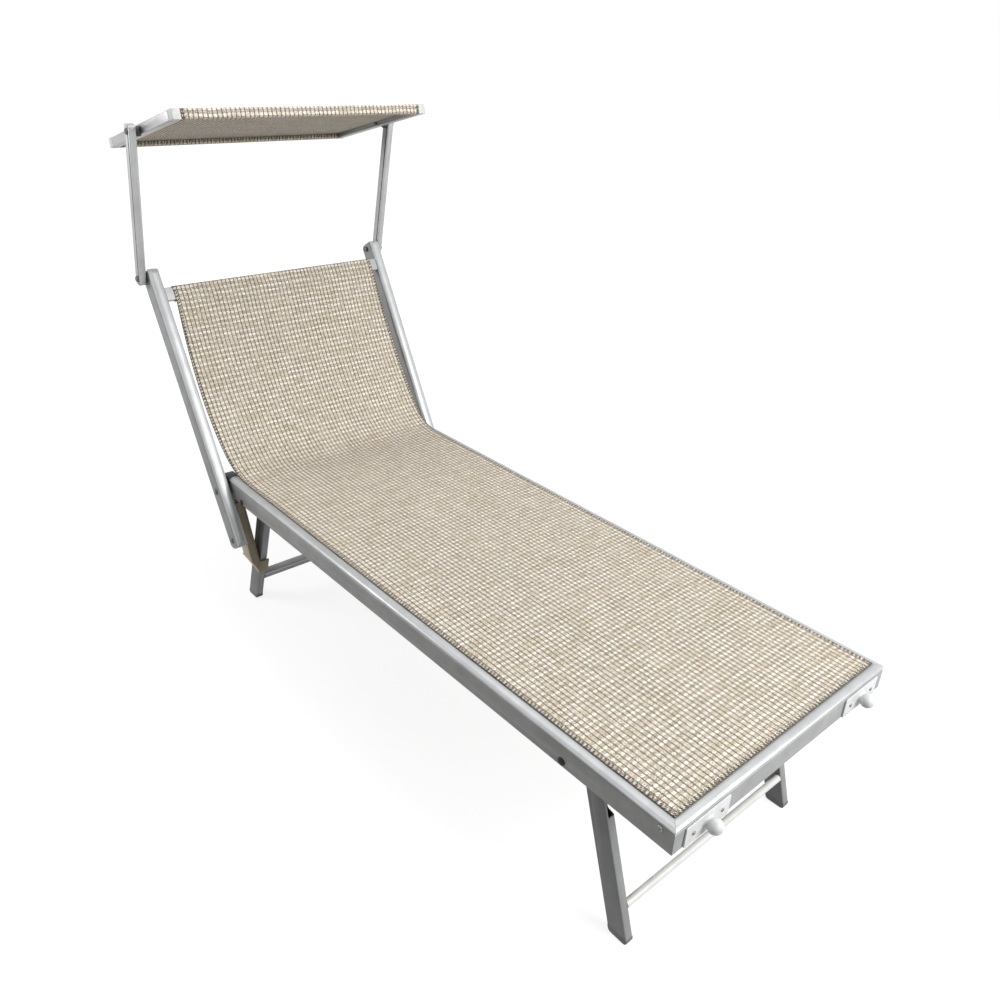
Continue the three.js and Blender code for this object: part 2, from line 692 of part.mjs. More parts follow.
function addRearLegs(root) {
  const group = leaningGroup(rearPivotAt, -rearPivot.lean);
  const { tube, cap } = legPieces(rearPivotAt, -rearPivot.lean, rearPivot.setBack, false);
  for (const [name, side] of SIDES) {
    piece(group, `rear_leg_${name}`, moved(tube, side * legX, 0, 0), "aluminium");
    piece(group, `rear_foot_${name}`, moved(cap, side * legX, 0, 0), "greyPlastic");
    piece(group, `stay_${name}`, staySolid(side), "stayPlastic");
  }
  const half = legInner - gap;
  const u = -rearPivot.setBack - (legSection.deep - rearBar.deep) / 2;
  const wall = 2 * legSection.wall;
  const outline = roundedBox(u, -rearBar.down, rearBar.deep, rearBar.high, legSection.corner);
  outline.holes.push(roundedBox(u, -rearBar.down, rearBar.deep - wall, rearBar.high - wall, 0));
  piece(group, "rear_crossbar", prismAlongX(outline, -half, half), "aluminium");
  root.add(group);
}

// The sizes of a bar with rounded ends and a bolt hole a margin inside each of them.
function boltedBar(size, low, high, ends, shank) {
  const edge = size.flat / 2;
  const { lowMargin, highMargin, rearRound, beadRound, boltOffset } = ends;
  const trim = prismAlongX(
    roundedOutline([
      [edge, low - lowMargin, rearRound],
      [edge, high + highMargin, rearRound],
      [-edge - size.bead, high + highMargin, beadRound],
      [-edge - size.bead, low - lowMargin, beadRound],
    ]),
    -size.beadThick,
    size.beadThick,
  );
  const holes = [low, high].map((s) => boltHole(shank, -size.thick, size.thick, -boltOffset, s));
  return { size, from: low - lowMargin, to: high + highMargin, solidEnd: rearRound, trim, holes };
}

function addBackrest(root) {
  const group = leaningGroup(backPivotAt, back.recline);
  const sizes = boltedBar(section, -upright.stopPin, upright.armPivot, upright, backBolt.shank);
  sizes.holes.push(boltHole(backBolt.shank, -section.thick, section.thick));
  const solid = bar(sizes);
  const pivotGrip = uprightOuter + gap - (railInner - gap);
  for (const [name, side] of SIDES) {
    piece(group, `upright_${name}`, moved(solid, side * uprightX, 0, 0), "aluminium");
    const pivot = onSide(bolt(backBolt, pivotGrip), side, uprightOuter + gap);
    piece(group, `back_pivot_bolt_${name}`, pivot, "steel");
    const pinSizes = { ...stopPin, nut: stopPin.shank, nutHeight: stopPin.inside / 2 };
    const pin = bolt(pinSizes, section.thick + 2 * gap + stopPin.inside / 4);
    piece(group, `stop_pin_${name}`, onSide(pin, side, uprightOuter + gap, 0, -upright.stopPin), "steel");
  }
  const middleS = (topBar.low + topBar.high) / 2;
  const middleU = -section.flat / 2 - topBar.frontInset + topBar.depth / 2;
  const barHigh = topBar.high - topBar.low;
  const half = uprightInner - beadProud - gap;
  const outline = roundedBox(middleU, middleS, topBar.depth, barHigh, topBar.corner);
  const walls = 2 * section.wall;
  outline.holes.push(
    roundedBox(middleU, middleS, topBar.depth - walls, barHigh - walls, topBar.corner / 2),
  );
  piece(group, "top_bar", prismAlongX(outline, -half, half), "aluminium");
  root.add(group);
  return { group, middleU, middleS };
}

// The sling's side line as a curve of (y, z) points at rest.
function slingCurve() {
  const sleeve = fabric.thick + gap;
  const front = -section.flat / 2 - topBar.frontInset - sleeve + fabric.thick / 2;
  const start = new THREE.Vector2(slingLiftOff, railTop + gap + fabric.thick / 2);
  const end = along(backPivotAt, back.recline, topBar.low, front);
  return new THREE.CatmullRomCurve3(
    slingRunShares.map(
      (share, i) =>
        new THREE.Vector3(
          0,
          start.x + share * (end.x - start.x),
          start.y + slingRiseShares[i] * (end.y - start.y),
        ),
    ),
  );
}

// The share of the sling's curve at which it passes a height s of the uprights.
function curveShareAt(curve, s) {
  let [low, high] = [0, 1];
  for (let i = 0; i < 40; i++) {
    const middle = (low + high) / 2;
    const point = curve.getPoint(middle);
    const place = inMember(backPivotAt, back.recline, new THREE.Vector2(point.y, point.z));
    if (place.y < s) low = middle;
    else high = middle;
  }
  return low;
}

// The woven seat, the stretch that bends at the hinge, and the back with its sleeve round the top bar.
function addSling(frame, backrest) {
  const curve = slingCurve();
  const split = curveShareAt(curve, sling.backSplit);
  const half = (t) => slingHalf + sling.spread * Math.sin(Math.PI * t);
  const start = curve.getPoint(0);
  const crown = (a, b) => sling.crown * (1 - (2 * a - 1) ** 2) * Math.sin(Math.PI * b);
  const seat = sheet(
    8,
    14,
    (a, b) =>
      new THREE.Vector3(
        (2 * a - 1) * slingHalf,
        sling.footEdge + b * (start.y - gap - sling.footEdge),
        start.z + crown(a, b),
      ),
    fabric.thick,
  );
  piece(frame, "seat_sling", seat, "weave");

  const length = curve.getLength();
  const inset = gap / length;
  const stretch = (from, to, rows) =>
    sheet(
      6,
      rows,
      (a, b) => {
        const t = from + (to - from) * b;
        const point = curve.getPoint(t);
        return new THREE.Vector3((2 * a - 1) * half(t), point.y, point.z);
      },
      fabric.thick,
    );
  const toBack = new THREE.Matrix4()
    .makeRotationX(back.recline * DEGREE)
    .multiply(new THREE.Matrix4().makeTranslation(0, -backPivotAt.x, -backPivotAt.y));
  const bend = stretch(0, split - inset, 9);
  piece(backrest.group, "sling_bend", turned(bend, toBack), "weave");

  const sleeveDepth = topBar.depth + 2 * gap;
  const sleeveHigh = topBar.high - topBar.low + 2 * gap;
  const { middleU, middleS } = backrest;
  const ringShape = roundedBox(
    middleU,
    middleS,
    sleeveDepth + 2 * fabric.thick,
    sleeveHigh + 2 * fabric.thick,
    topBar.corner + fabric.thick,
  );
  ringShape.holes.push(roundedBox(middleU, middleS, sleeveDepth, sleeveHigh, topBar.corner));
  const sleeve = prismAlongX(ringShape, -half(1), half(1));
  const upper = turned(stretch(split, 1, 8), toBack);
  const bore = roundedBox(middleU, middleS, sleeveDepth, sleeveHigh, topBar.corner);
  const inner = prismAlongX(bore, -bed.width, bed.width);
  piece(backrest.group, "back_sling", sleeve.add(upper.subtract(inner)), "weave");
}

function addArms(root) {
  const group = leaningGroup(armPivotAt, -arms.lean);
  const solid = bar(boltedBar(armSection, 0, arms.length, arms, armBolt.shank));
  const grip = armOuter + gap - (uprightInner - gap);
  for (const [name, side] of SIDES) {
    piece(group, `arm_${name}`, moved(solid, side * armX, arms.boltOffset, 0), "aluminium");
    piece(group, `arm_bolt_${name}`, onSide(bolt(armBolt, grip), side, armOuter + gap), "steel");
    const [x0, x1] = [side * (uprightOuter + gap), side * (armInner - gap)].sort((a, b) => a - b);
    const spacer = ring(armSpacer.diameter, armBolt.shank + 2 * gap, x0, x1);
    piece(group, `arm_spacer_${name}`, spacer, "blackPlastic");
  }
  root.add(group);
}

// A hollow rectangular canopy member along its own Z, in (width, height).
function canopyTube(width, height, from, to) {
  const outline = roundedBox(0, 0, width, height, canopyRail.corner);
  const wall = 2 * canopyRail.wall;
  outline.holes.push(roundedBox(0, 0, width - wall, height - wall, 0));
  return extrude(outline, from, to);
}

function addCanopy(root) {
  const group = leaningGroup(canopyPivotAt, canopy.lean);
  const deck = new THREE.Group();
  deck.position.z = canopyRail.rise;
  group.add(deck);
  const sleeve = fabric.thick + gap;
  const barWide = canopyRail.thick - 2 * sleeve;
  const barHigh = canopyRail.height - 2 * sleeve;
  const railFrom = -canopy.front + canopyCap.length + gap;
  const railTo = canopy.back - canopyCap.length - gap;
  const capInner = canopyHalf - canopyCap.length;
  const armSideReach = armOuter + gap - (canopyRailInner - gap);
  for (const [name, side] of SIDES) {
    const lengthwise = basis([1, 0, 0], [0, 0, -1], [0, 1, 0]);
    const tube = turned(canopyTube(canopyRail.thick, canopyRail.height, railFrom, railTo), lengthwise);
    const reach = canopyRail.thick / 2;
    const hole = boltHole(canopyBolt.shank, -reach, reach, 0, -canopyRail.rise);
    const middle = side * (canopyHalf - canopyRail.thick / 2);
    piece(deck, `canopy_rail_${name}`, moved(tube.subtract(hole), middle, 0, 0), "aluminium");
    const capRows = [
      ["front", -1, -canopy.front],
      ["back", 1, canopy.back],
    ];
    for (const [end, outwards, edge] of capRows) {
      const cap = canopyCapSolid(side, outwards, edge, barWide, barHigh);
      piece(deck, `canopy_cap_${end}_${name}`, cap, "whitePlastic");
    }
    const boltSolid = onSide(bolt(canopyBolt, armSideReach), side, armOuter + gap);
    piece(group, `canopy_bolt_${name}`, boltSolid, "steel");
    const [x0, x1] = [side * (canopyHalf + gap), side * (armInner - gap)].sort((a, b) => a - b);
    const spacer = ring(canopySpacer.diameter, canopyBolt.shank + 2 * gap, x0, x1);
    piece(group, `canopy_spacer_${name}`, spacer, "blackPlastic");
  }
  const acrossHalf = capInner - gap;
  const crosswise = basis([0, 1, 0], [0, 0, 1], [1, 0, 0]);
  const acrossTube = turned(canopyTube(barWide, barHigh, -acrossHalf, acrossHalf), crosswise);
  const frontY = -canopy.front + canopyRail.thick / 2;
  const backY = canopy.back - canopyRail.thick / 2;
  piece(deck, "canopy_bar_front", moved(acrossTube, 0, frontY, 0), "aluminium");
  piece(deck, "canopy_bar_back", moved(acrossTube, 0, backY, 0), "aluminium");

  // The cover: one sheet with a sleeve round each bar.
  const sheetZ = -canopyRail.height / 2 + canopySheet.overRailBottom;
  const half = capInner - gap;
  const cover = sheet(
    6,
    8,
    (a, b) =>
      new THREE.Vector3(
        (2 * a - 1) * half,
        frontY + b * (backY - frontY),
        sheetZ - canopySheet.sag * Math.sin(Math.PI * a) * Math.sin(Math.PI * b),
      ),
    fabric.thick,
  );
  const bore = (y) => roundedBox(y, 0, barWide + 2 * gap, barHigh + 2 * gap, canopyRail.corner);
  let whole = cover;
  for (const y of [frontY, backY]) whole = whole.subtract(prismAlongX(bore(y), -bed.width, bed.width));
  for (const y of [frontY, backY]) {
    const corner = canopyRail.corner + fabric.sleeveCorner;
    const shape = roundedBox(y, 0, canopyRail.thick, canopyRail.height, corner);
    shape.holes.push(bore(y));
    whole = whole.add(prismAlongX(shape, -half, half));
  }
  piece(deck, "canopy_fabric", whole, "weave");
  root.add(group);
}

// A canopy corner: a block with a plug into the side rail and one into the bar across.
function canopyCapSolid(side, outwards, edge, barWide, barHigh) {
  const half = canopyRail.height / 2;
  const sorted = (a, b) => (a < b ? [a, b] : [b, a]);
  const xs = sorted(side * (canopyHalf - canopyCap.length), side * canopyHalf);
  const ys = sorted(edge, edge - outwards * canopyCap.length);
  const size = canopyCap.length;
  const outline = roundedBox((xs[0] + xs[1]) / 2, (ys[0] + ys[1]) / 2, size, size, canopyCap.corner);
  const inset = canopyRail.wall + gap;
  const plugY = sorted(edge - (outwards * size) / 2, edge - outwards * (size + canopyCap.plug));
  const plugX = sorted(side * (canopyHalf - size / 2), side * (canopyHalf - size - canopyCap.plug));
  const barMiddle = edge - (outwards * canopyRail.thick) / 2;
  const railXs = sorted(side * (canopyRailInner + inset), side * (canopyHalf - inset));
  const intoRail = block(...railXs, ...plugY, -half + inset, half - inset);
  const barReach = barWide / 2 - inset;
  const barRise = barHigh / 2 - inset;
  const intoBar = block(...plugX, barMiddle - barReach, barMiddle + barReach, -barRise, barRise);
  return extrude(outline, -half, half).add(intoRail).add(intoBar);
}

const lounger = new THREE.Group();
const frame = new THREE.Group();
lounger.add(frame);
addRails(frame);
addFootRail(frame);
addCornerKeys(frame);
addHingeBlocks(frame);
addHooks(frame);
addLegFixings(frame);
addBrackets(frame);
addFrontLegs(lounger);
addRearLegs(lounger);
addSling(frame, addBackrest(lounger));
addArms(lounger);
addCanopy(lounger);

// The origin is under the middle of the whole lounger's box, on the ground.
lounger.updateMatrixWorld(true);
const bounds = new THREE.Box3().setFromObject(lounger, true);
const middle = bounds.getCenter(new THREE.Vector3());
lounger.position.y = -middle.y;

export default lounger;
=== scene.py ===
"""Sun lounger with a tilting canopy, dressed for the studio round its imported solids.

Lengths in the dataclasses are millimetres where nothing else is said. The lounger stands on z = 0, with its
foot end towards -Y and its head end towards +Y.
"""

import logging
import math
from dataclasses import dataclass, field, replace
from enum import Enum
from functools import partial
from typing import Callable, Iterable, Sequence

import bmesh
import bpy
from mathutils import Matrix, Vector


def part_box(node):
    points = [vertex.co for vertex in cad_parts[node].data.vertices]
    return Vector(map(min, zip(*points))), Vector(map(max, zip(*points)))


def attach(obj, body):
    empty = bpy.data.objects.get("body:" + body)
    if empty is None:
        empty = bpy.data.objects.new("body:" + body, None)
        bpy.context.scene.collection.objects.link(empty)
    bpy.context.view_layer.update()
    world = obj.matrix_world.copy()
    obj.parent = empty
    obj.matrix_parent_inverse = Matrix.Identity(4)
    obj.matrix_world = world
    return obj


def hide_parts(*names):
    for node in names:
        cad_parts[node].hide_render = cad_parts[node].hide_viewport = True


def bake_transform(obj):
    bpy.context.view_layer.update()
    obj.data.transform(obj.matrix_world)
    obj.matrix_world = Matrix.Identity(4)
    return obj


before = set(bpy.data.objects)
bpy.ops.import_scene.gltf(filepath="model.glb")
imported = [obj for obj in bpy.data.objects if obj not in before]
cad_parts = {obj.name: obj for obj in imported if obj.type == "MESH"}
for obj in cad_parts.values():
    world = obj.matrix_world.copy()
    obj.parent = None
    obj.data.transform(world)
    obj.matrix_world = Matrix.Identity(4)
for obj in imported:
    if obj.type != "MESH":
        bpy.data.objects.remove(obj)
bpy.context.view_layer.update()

LOG = logging.getLogger("lounger")
MM = 0.001
SIDES = (("left", -1), ("right", 1))
Point = tuple[float, float]
Socket = bpy.types.NodeSocket
Adder = Callable[..., Socket]


class Body(Enum):
    """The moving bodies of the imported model."""

    FRAME = "frame"
    FRONT_LEGS = "front_legs"
    REAR_LEGS = "rear_legs"
    BACKREST = "backrest"
    ARMS = "canopy_arms"
    CANOPY = "canopy"


class End(Enum):
    """The two pairs of legs."""

    FRONT = "front"
    REAR = "rear"


class Lay(Enum):
    """Which way a bar of the frame runs."""

    LENGTHWISE = "along y"
    CROSSWISE = "along x"
    LEANING = "up a leaning member"


# Places


@dataclass(frozen=True)
class Lounger:
    """Main sizes that several assemblies share, as in the part's source."""

    bed_width: float = 600
    bed_length: float = 1396
    clear_under: float = 340
    flat: float = 42
    bead: float = 12
    thick: float = 25
    gap: float = 0.3
    front_pivot: Point = (228, 351)
    rear_pivot: Point = (1340, 349)
    back_pivot: Point = (1416.4, 356.2)
    front_lean: float = 17.5
    rear_lean: float = -19
    recline: float = 29.1
    arm_pivot: float = 542
    arm_lean: float = 12
    arm_length: float = 343
    canopy_pitch: float = 13.7

    @property
    def shift(self) -> float:
        """How far the part's origin lies from the foot rail's outer face, in millimetres."""
        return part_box("rail_left")[1].y / MM - self.bed_length

    @property
    def rail_top(self) -> float:
        """Height of the rails' beads."""
        return self.clear_under + self.flat + self.bead

    @property
    def arm_at(self) -> Point:
        """Where the arms turn on the uprights."""
        return along(self.back_pivot, self.recline, self.arm_pivot, 0)

    @property
    def canopy_at(self) -> Point:
        """Where the canopy turns on the arms."""
        return along(self.arm_at, -self.arm_lean, self.arm_length, 0)


def along(start: Point, lean: float, s: float, u: float) -> Point:
    """A point of a member that leans back.

    Args:
        start: its pivot's (y, z).
        lean: its lean from upright, in degrees.
        s: distance up it.
        u: distance across it, rearwards.

    Returns:
        The point's (y, z).
    """
    sine, cosine = math.sin(math.radians(lean)), math.cos(math.radians(lean))
    return start[0] + s * sine + u * cosine, start[1] + s * cosine - u * sine


SIZES = Lounger()


@dataclass(frozen=True)
class Placement:
    """A member's own frame: local axes are x, u (across, rearwards) and s (up the member), in millimetres."""

    origin: Point = (0, 0)
    lean: float = 0
    lay: Lay = Lay.LEANING

    def matrix(self) -> Matrix:
        """Where the member stands.

        Returns:
            The matrix from its millimetres to the scene's metres.
        """
        y = (self.origin[0] + SIZES.shift) * MM
        place = Matrix.Translation((0, y, self.origin[1] * MM))
        return place @ Matrix.Rotation(-math.radians(self.lean), 4, "X") @ Matrix.Scale(MM, 4)

    def grain(self) -> Matrix:
        """How patterns lie on the member.

        Returns:
            The matrix from the scene's metres to (across, across, along) in millimetres.
        """
        local = self.matrix().inverted()
        if self.lay is Lay.LENGTHWISE:
            return Matrix(((1, 0, 0, 0), (0, 0, 1, 0), (0, 1, 0, 0), (0, 0, 0, 1))) @ local
        if self.lay is Lay.CROSSWISE:
            return Matrix(((0, 0, 1, 0), (0, 1, 0, 0), (1, 0, 0, 0), (0, 0, 0, 1))) @ local
        return local

    def laid(self, lay: Lay) -> "Placement":
        """The same frame with its patterns laid another way."""
        return replace(self, lay=lay)


BED = Placement(lay=Lay.LENGTHWISE)
ACROSS = BED.laid(Lay.CROSSWISE)
FRONT_LEG = Placement(SIZES.front_pivot, SIZES.front_lean)
REAR_LEG = Placement(SIZES.rear_pivot, SIZES.rear_lean)
BACK = Placement(SIZES.back_pivot, SIZES.recline)
ARM = Placement(SIZES.arm_at, -SIZES.arm_lean)
CANOPY = Placement(SIZES.canopy_at, SIZES.canopy_pitch)


# Materials


class Kind(Enum):
    """What a shader node does: its type, its settings, the inputs fed in turn, and the output in use."""

    PLACE = "ShaderNodeAttribute", {"attribute_name": "place_mm"}, (), "Vector"
    CLOTH_PLACE = "ShaderNodeAttribute", {"attribute_name": "cloth_mm"}, (), "Vector"
    POSITION = "ShaderNodeNewGeometry", {}, (), "Position"
    SIGHT = "ShaderNodeLightPath", {}
    ADD = "ShaderNodeMath", {"operation": "ADD"}
    SUBTRACT = "ShaderNodeMath", {"operation": "SUBTRACT"}
    MULTIPLY = "ShaderNodeMath", {"operation": "MULTIPLY"}
    DIVIDE = "ShaderNodeMath", {"operation": "DIVIDE"}
    POWER = "ShaderNodeMath", {"operation": "POWER"}
    LARGER = "ShaderNodeMath", {"operation": "MAXIMUM"}
    SINE = "ShaderNodeMath", {"operation": "SINE"}
    FLOOR = "ShaderNodeMath", {"operation": "FLOOR"}
    FRACTION = "ShaderNodeMath", {"operation": "FRACT"}
    ABSOLUTE = "ShaderNodeMath", {"operation": "ABSOLUTE"}
    CLAMP = "ShaderNodeClamp", {}
    EASE = "ShaderNodeMapRange", {"interpolation_type": "SMOOTHSTEP"}
    MOVE = "ShaderNodeVectorMath", {"operation": "ADD"}
    MOVE_BACK = "ShaderNodeVectorMath", {"operation": "SUBTRACT"}
    STRETCH = "ShaderNodeVectorMath", {"operation": "MULTIPLY"}
    LENGTH = "ShaderNodeVectorMath", {"operation": "LENGTH"}, (0,), "Value"
    SPLIT = "ShaderNodeSeparateXYZ", {}
    JOIN = "ShaderNodeCombineXYZ", {}
    NOISE = "ShaderNodeTexNoise", {}, ("Vector", "Scale", "Detail", "Roughness")
    CRYSTALS = "ShaderNodeTexVoronoi", {}, ("Vector", "Scale")
    RANDOM_BY_PLACE = "ShaderNodeTexWhiteNoise", {"noise_dimensions": "3D"}, ("Vector",)
    RANDOM_BY_NUMBER = "ShaderNodeTexWhiteNoise", {"noise_dimensions": "1D"}, ("W",)
    COLOUR_BETWEEN = "ShaderNodeMix", {"data_type": "RGBA"}, (0, 6, 7), 2
    BUMP = "ShaderNodeBump", {}, ("Strength", "Distance", "Height")
    METAL = "ShaderNodeBsdfPrincipled", {}, ("Base Color", "Roughness", "Metallic", "Normal")
    PLASTIC = "ShaderNodeBsdfPrincipled", {}, ("Base Color", "Roughness", "IOR", "Normal")
    MATT = "ShaderNodeBsdfDiffuse", {}
    GLOW = "ShaderNodeEmission", {}
    BOTH = "ShaderNodeAddShader", {}
    LIGHT_AROUND = "ShaderNodeBackground", {}
    MATERIAL_END = "ShaderNodeOutputMaterial", {}
    WORLD_END = "ShaderNodeOutputWorld", {}

    def __init__(
        self,
        node_type: str,
        settings: dict[str, object],
        takes: tuple[int | str, ...] = (0, 1, 2),
        gives: int | str = 0,
    ) -> None:
        """Keeps the parts of the value under names.

        Args:
            node_type: the node's type.
            settings: the node's own properties.
            takes: the inputs that are fed, in turn.
            gives: the output in use.
        """
        self.node_type = node_type
        self.settings = settings
        self.takes = takes
        self.gives = gives


def add_node(tree: bpy.types.NodeTree, kind: Kind, *feeds: object) -> Socket | None:
    """Adds a node with its settings and links.

    Args:
        tree: the node tree it goes into.
        kind: what the node does.
        feeds: for each input that its kind takes, a value or the output that feeds it.

    Returns:
        The output in use, or nothing for the tree's last node.
    """
    node = tree.nodes.new(kind.node_type)
    for name, value in kind.settings.items():
        setattr(node, name, value)
    for key, value in zip(kind.takes, feeds):
        if isinstance(value, bpy.types.NodeSocket):
            tree.links.new(value, node.inputs[key])
        else:
            node.inputs[key].default_value = value
    return node.outputs[kind.gives] if node.outputs else None


def linear(code: str) -> tuple[float, float, float, float]:
    """A colour written as sRGB hex, turned to linear.

    Args:
        code: six hex digits after a hash.

    Returns:
        Red, green, blue and an alpha of 1.
    """
    parts = [int(code[i : i + 2], 16) / 255 for i in (1, 3, 5)]
    turned = [c / 12.92 if c <= 0.04045 else ((c + 0.055) / 1.055) ** 2.4 for c in parts]
    return turned[0], turned[1], turned[2], 1.0


@dataclass(frozen=True)
class Finish:
    """What every finish has: a name for its material and the slot it belongs to."""

    name: str
    slot: str

    def material(self) -> bpy.types.Material:
        """Makes the finish's material the first time it is asked for.

        Returns:
            The material.
        """
        found = bpy.data.materials.get(self.name)
        if found:
            return found
        made = bpy.data.materials.new(self.name)
        made.use_nodes = True
        made.node_tree.nodes.clear()
        add = partial(add_node, made.node_tree)
        add(Kind.MATERIAL_END, self.surface(add))
        return made

    def surface(self, add: Adder) -> Socket:
        """Builds the shader and returns its output."""
        raise NotImplementedError


@dataclass(frozen=True)
class MillAluminium(Finish):
    """Extruded 6063 aluminium as it leaves the die, lightly anodised.

    The die draws fine lines along the bar, and handling leaves soft cloudy patches in its satin gloss. The real
    lines are finer than the picture shows, so they are drawn as coarse as they need to be to show.
    """

    colour: str
    worn: str
    metallic: float
    roughness: float
    die_line_mm: float = 0.9
    die_run_mm: float = 166.7
    cloud_mm: float = 45
    speck_mm: float = 2.857
    deep_mm: float = 0.05

    def surface(self, add: Adder) -> Socket:
        """Die lines along the bar, cloudy gloss, and small dents.

        Args:
            add: adds a node to the material.

        Returns:
            The shader's output.
        """
        place = add(Kind.PLACE)
        drawn = add(Kind.STRETCH, place, (1 / self.die_line_mm, 1 / self.die_line_mm, 1 / self.die_run_mm))
        lines = add(Kind.NOISE, drawn, 1.0, 3.0)
        clouds = add(Kind.NOISE, place, 1 / self.cloud_mm, 4.0, 0.6)
        specks = add(Kind.NOISE, place, 1 / self.speck_mm, 2.0)
        wear = add(Kind.ADD, add(Kind.MULTIPLY, clouds, 0.75), add(Kind.MULTIPLY, lines, 0.35))
        share = add(Kind.EASE, wear, 0.35, 0.8)
        colour = add(Kind.COLOUR_BETWEEN, share, linear(self.colour), linear(self.worn))
        gloss = add(Kind.ADD, self.roughness - 0.09, add(Kind.MULTIPLY, wear, 0.16))
        height = add(Kind.ADD, lines, add(Kind.MULTIPLY, specks, 0.5))
        bump = add(Kind.BUMP, 0.18, self.deep_mm * MM, height)
        return add(Kind.METAL, colour, gloss, self.metallic, bump)


@dataclass(frozen=True)
class PowderCoat(Finish):
    """Steel tube under baked powder: a thick even skin with a faint orange peel and a clear gloss."""

    colour: str = "#dddeda"
    dusty: str = "#cfd0cb"
    roughness: float = 0.26
    ior: float = 1.52
    peel_mm: float = 1.8
    deep_mm: float = 0.06
    dust_mm: float = 50

    def surface(self, add: Adder) -> Socket:
        """Orange peel under a gloss that varies a little.

        Args:
            add: adds a node to the material.

        Returns:
            The shader's output.
        """
        place = add(Kind.PLACE)
        peel = add(Kind.NOISE, place, 1 / self.peel_mm, 1.0)
        dust = add(Kind.NOISE, place, 1 / self.dust_mm, 3.0)
        share = add(Kind.EASE, dust, 0.4, 0.75)
        colour = add(Kind.COLOUR_BETWEEN, share, linear(self.colour), linear(self.dusty))
        gloss = add(Kind.ADD, self.roughness, add(Kind.MULTIPLY, dust, 0.14))
        bump = add(Kind.BUMP, 0.25, self.deep_mm * MM, peel)
        return add(Kind.PLASTIC, colour, gloss, self.ior, bump)


@dataclass(frozen=True)
class MouldedPlastic(Finish):
    """Injection-moulded plastic: one colour all through, a spark-eroded grain and slightly scuffed faces."""

    colour: str = "#d9dbda"
    scuffed: str = "#c8cbc9"
    roughness: float = 0.42
    grain_mm: float = 0.7
    ior: float = 1.49
    scuff_mm: float = 11.11
    deep_mm: float = 0.08

    def surface(self, add: Adder) -> Socket:
        """Fine grain and broad scuffs.

        Args:
            add: adds a node to the material.

        Returns:
            The shader's output.
        """
        place = add(Kind.PLACE)
        grain = add(Kind.NOISE, place, 1 / self.grain_mm, 2.0)
        scuffs = add(Kind.NOISE, place, 1 / self.scuff_mm, 5.0, 0.65)
        share = add(Kind.EASE, scuffs, 0.42, 0.72)
        colour = add(Kind.COLOUR_BETWEEN, share, linear(self.colour), linear(self.scuffed))
        gloss = add(Kind.ADD, self.roughness - 0.06, add(Kind.MULTIPLY, scuffs, 0.16))
        bump = add(Kind.BUMP, 0.22, self.deep_mm * MM, grain)
        return add(Kind.PLASTIC, colour, gloss, self.ior, bump)


@dataclass(frozen=True)
class PlatedSteel(Finish):
    """Zinc-plated steel: a thin bright skin, mottled by its crystals and dulled in patches."""

    colour: str
    dulled: str
    roughness: float = 0.32
    metallic: float = 0.9
    mottle_mm: float = 1.6
    patch_mm: float = 2.5

    def surface(self, add: Adder) -> Socket:
        """Mottled plating.

        Args:
            add: adds a node to the material.

        Returns:
            The shader's output.
        """
        place = add(Kind.PLACE)
        mottle = add(Kind.CRYSTALS, place, 1 / self.mottle_mm)
        patches = add(Kind.NOISE, place, 1 / self.patch_mm, 3.0)
        share = add(Kind.EASE, add(Kind.MULTIPLY, mottle, patches), 0.1, 0.5)
        colour = add(Kind.COLOUR_BETWEEN, share, linear(self.colour), linear(self.dulled))
        gloss = add(Kind.ADD, self.roughness, add(Kind.MULTIPLY, share, 0.2))
        return add(Kind.METAL, colour, gloss, self.metallic)


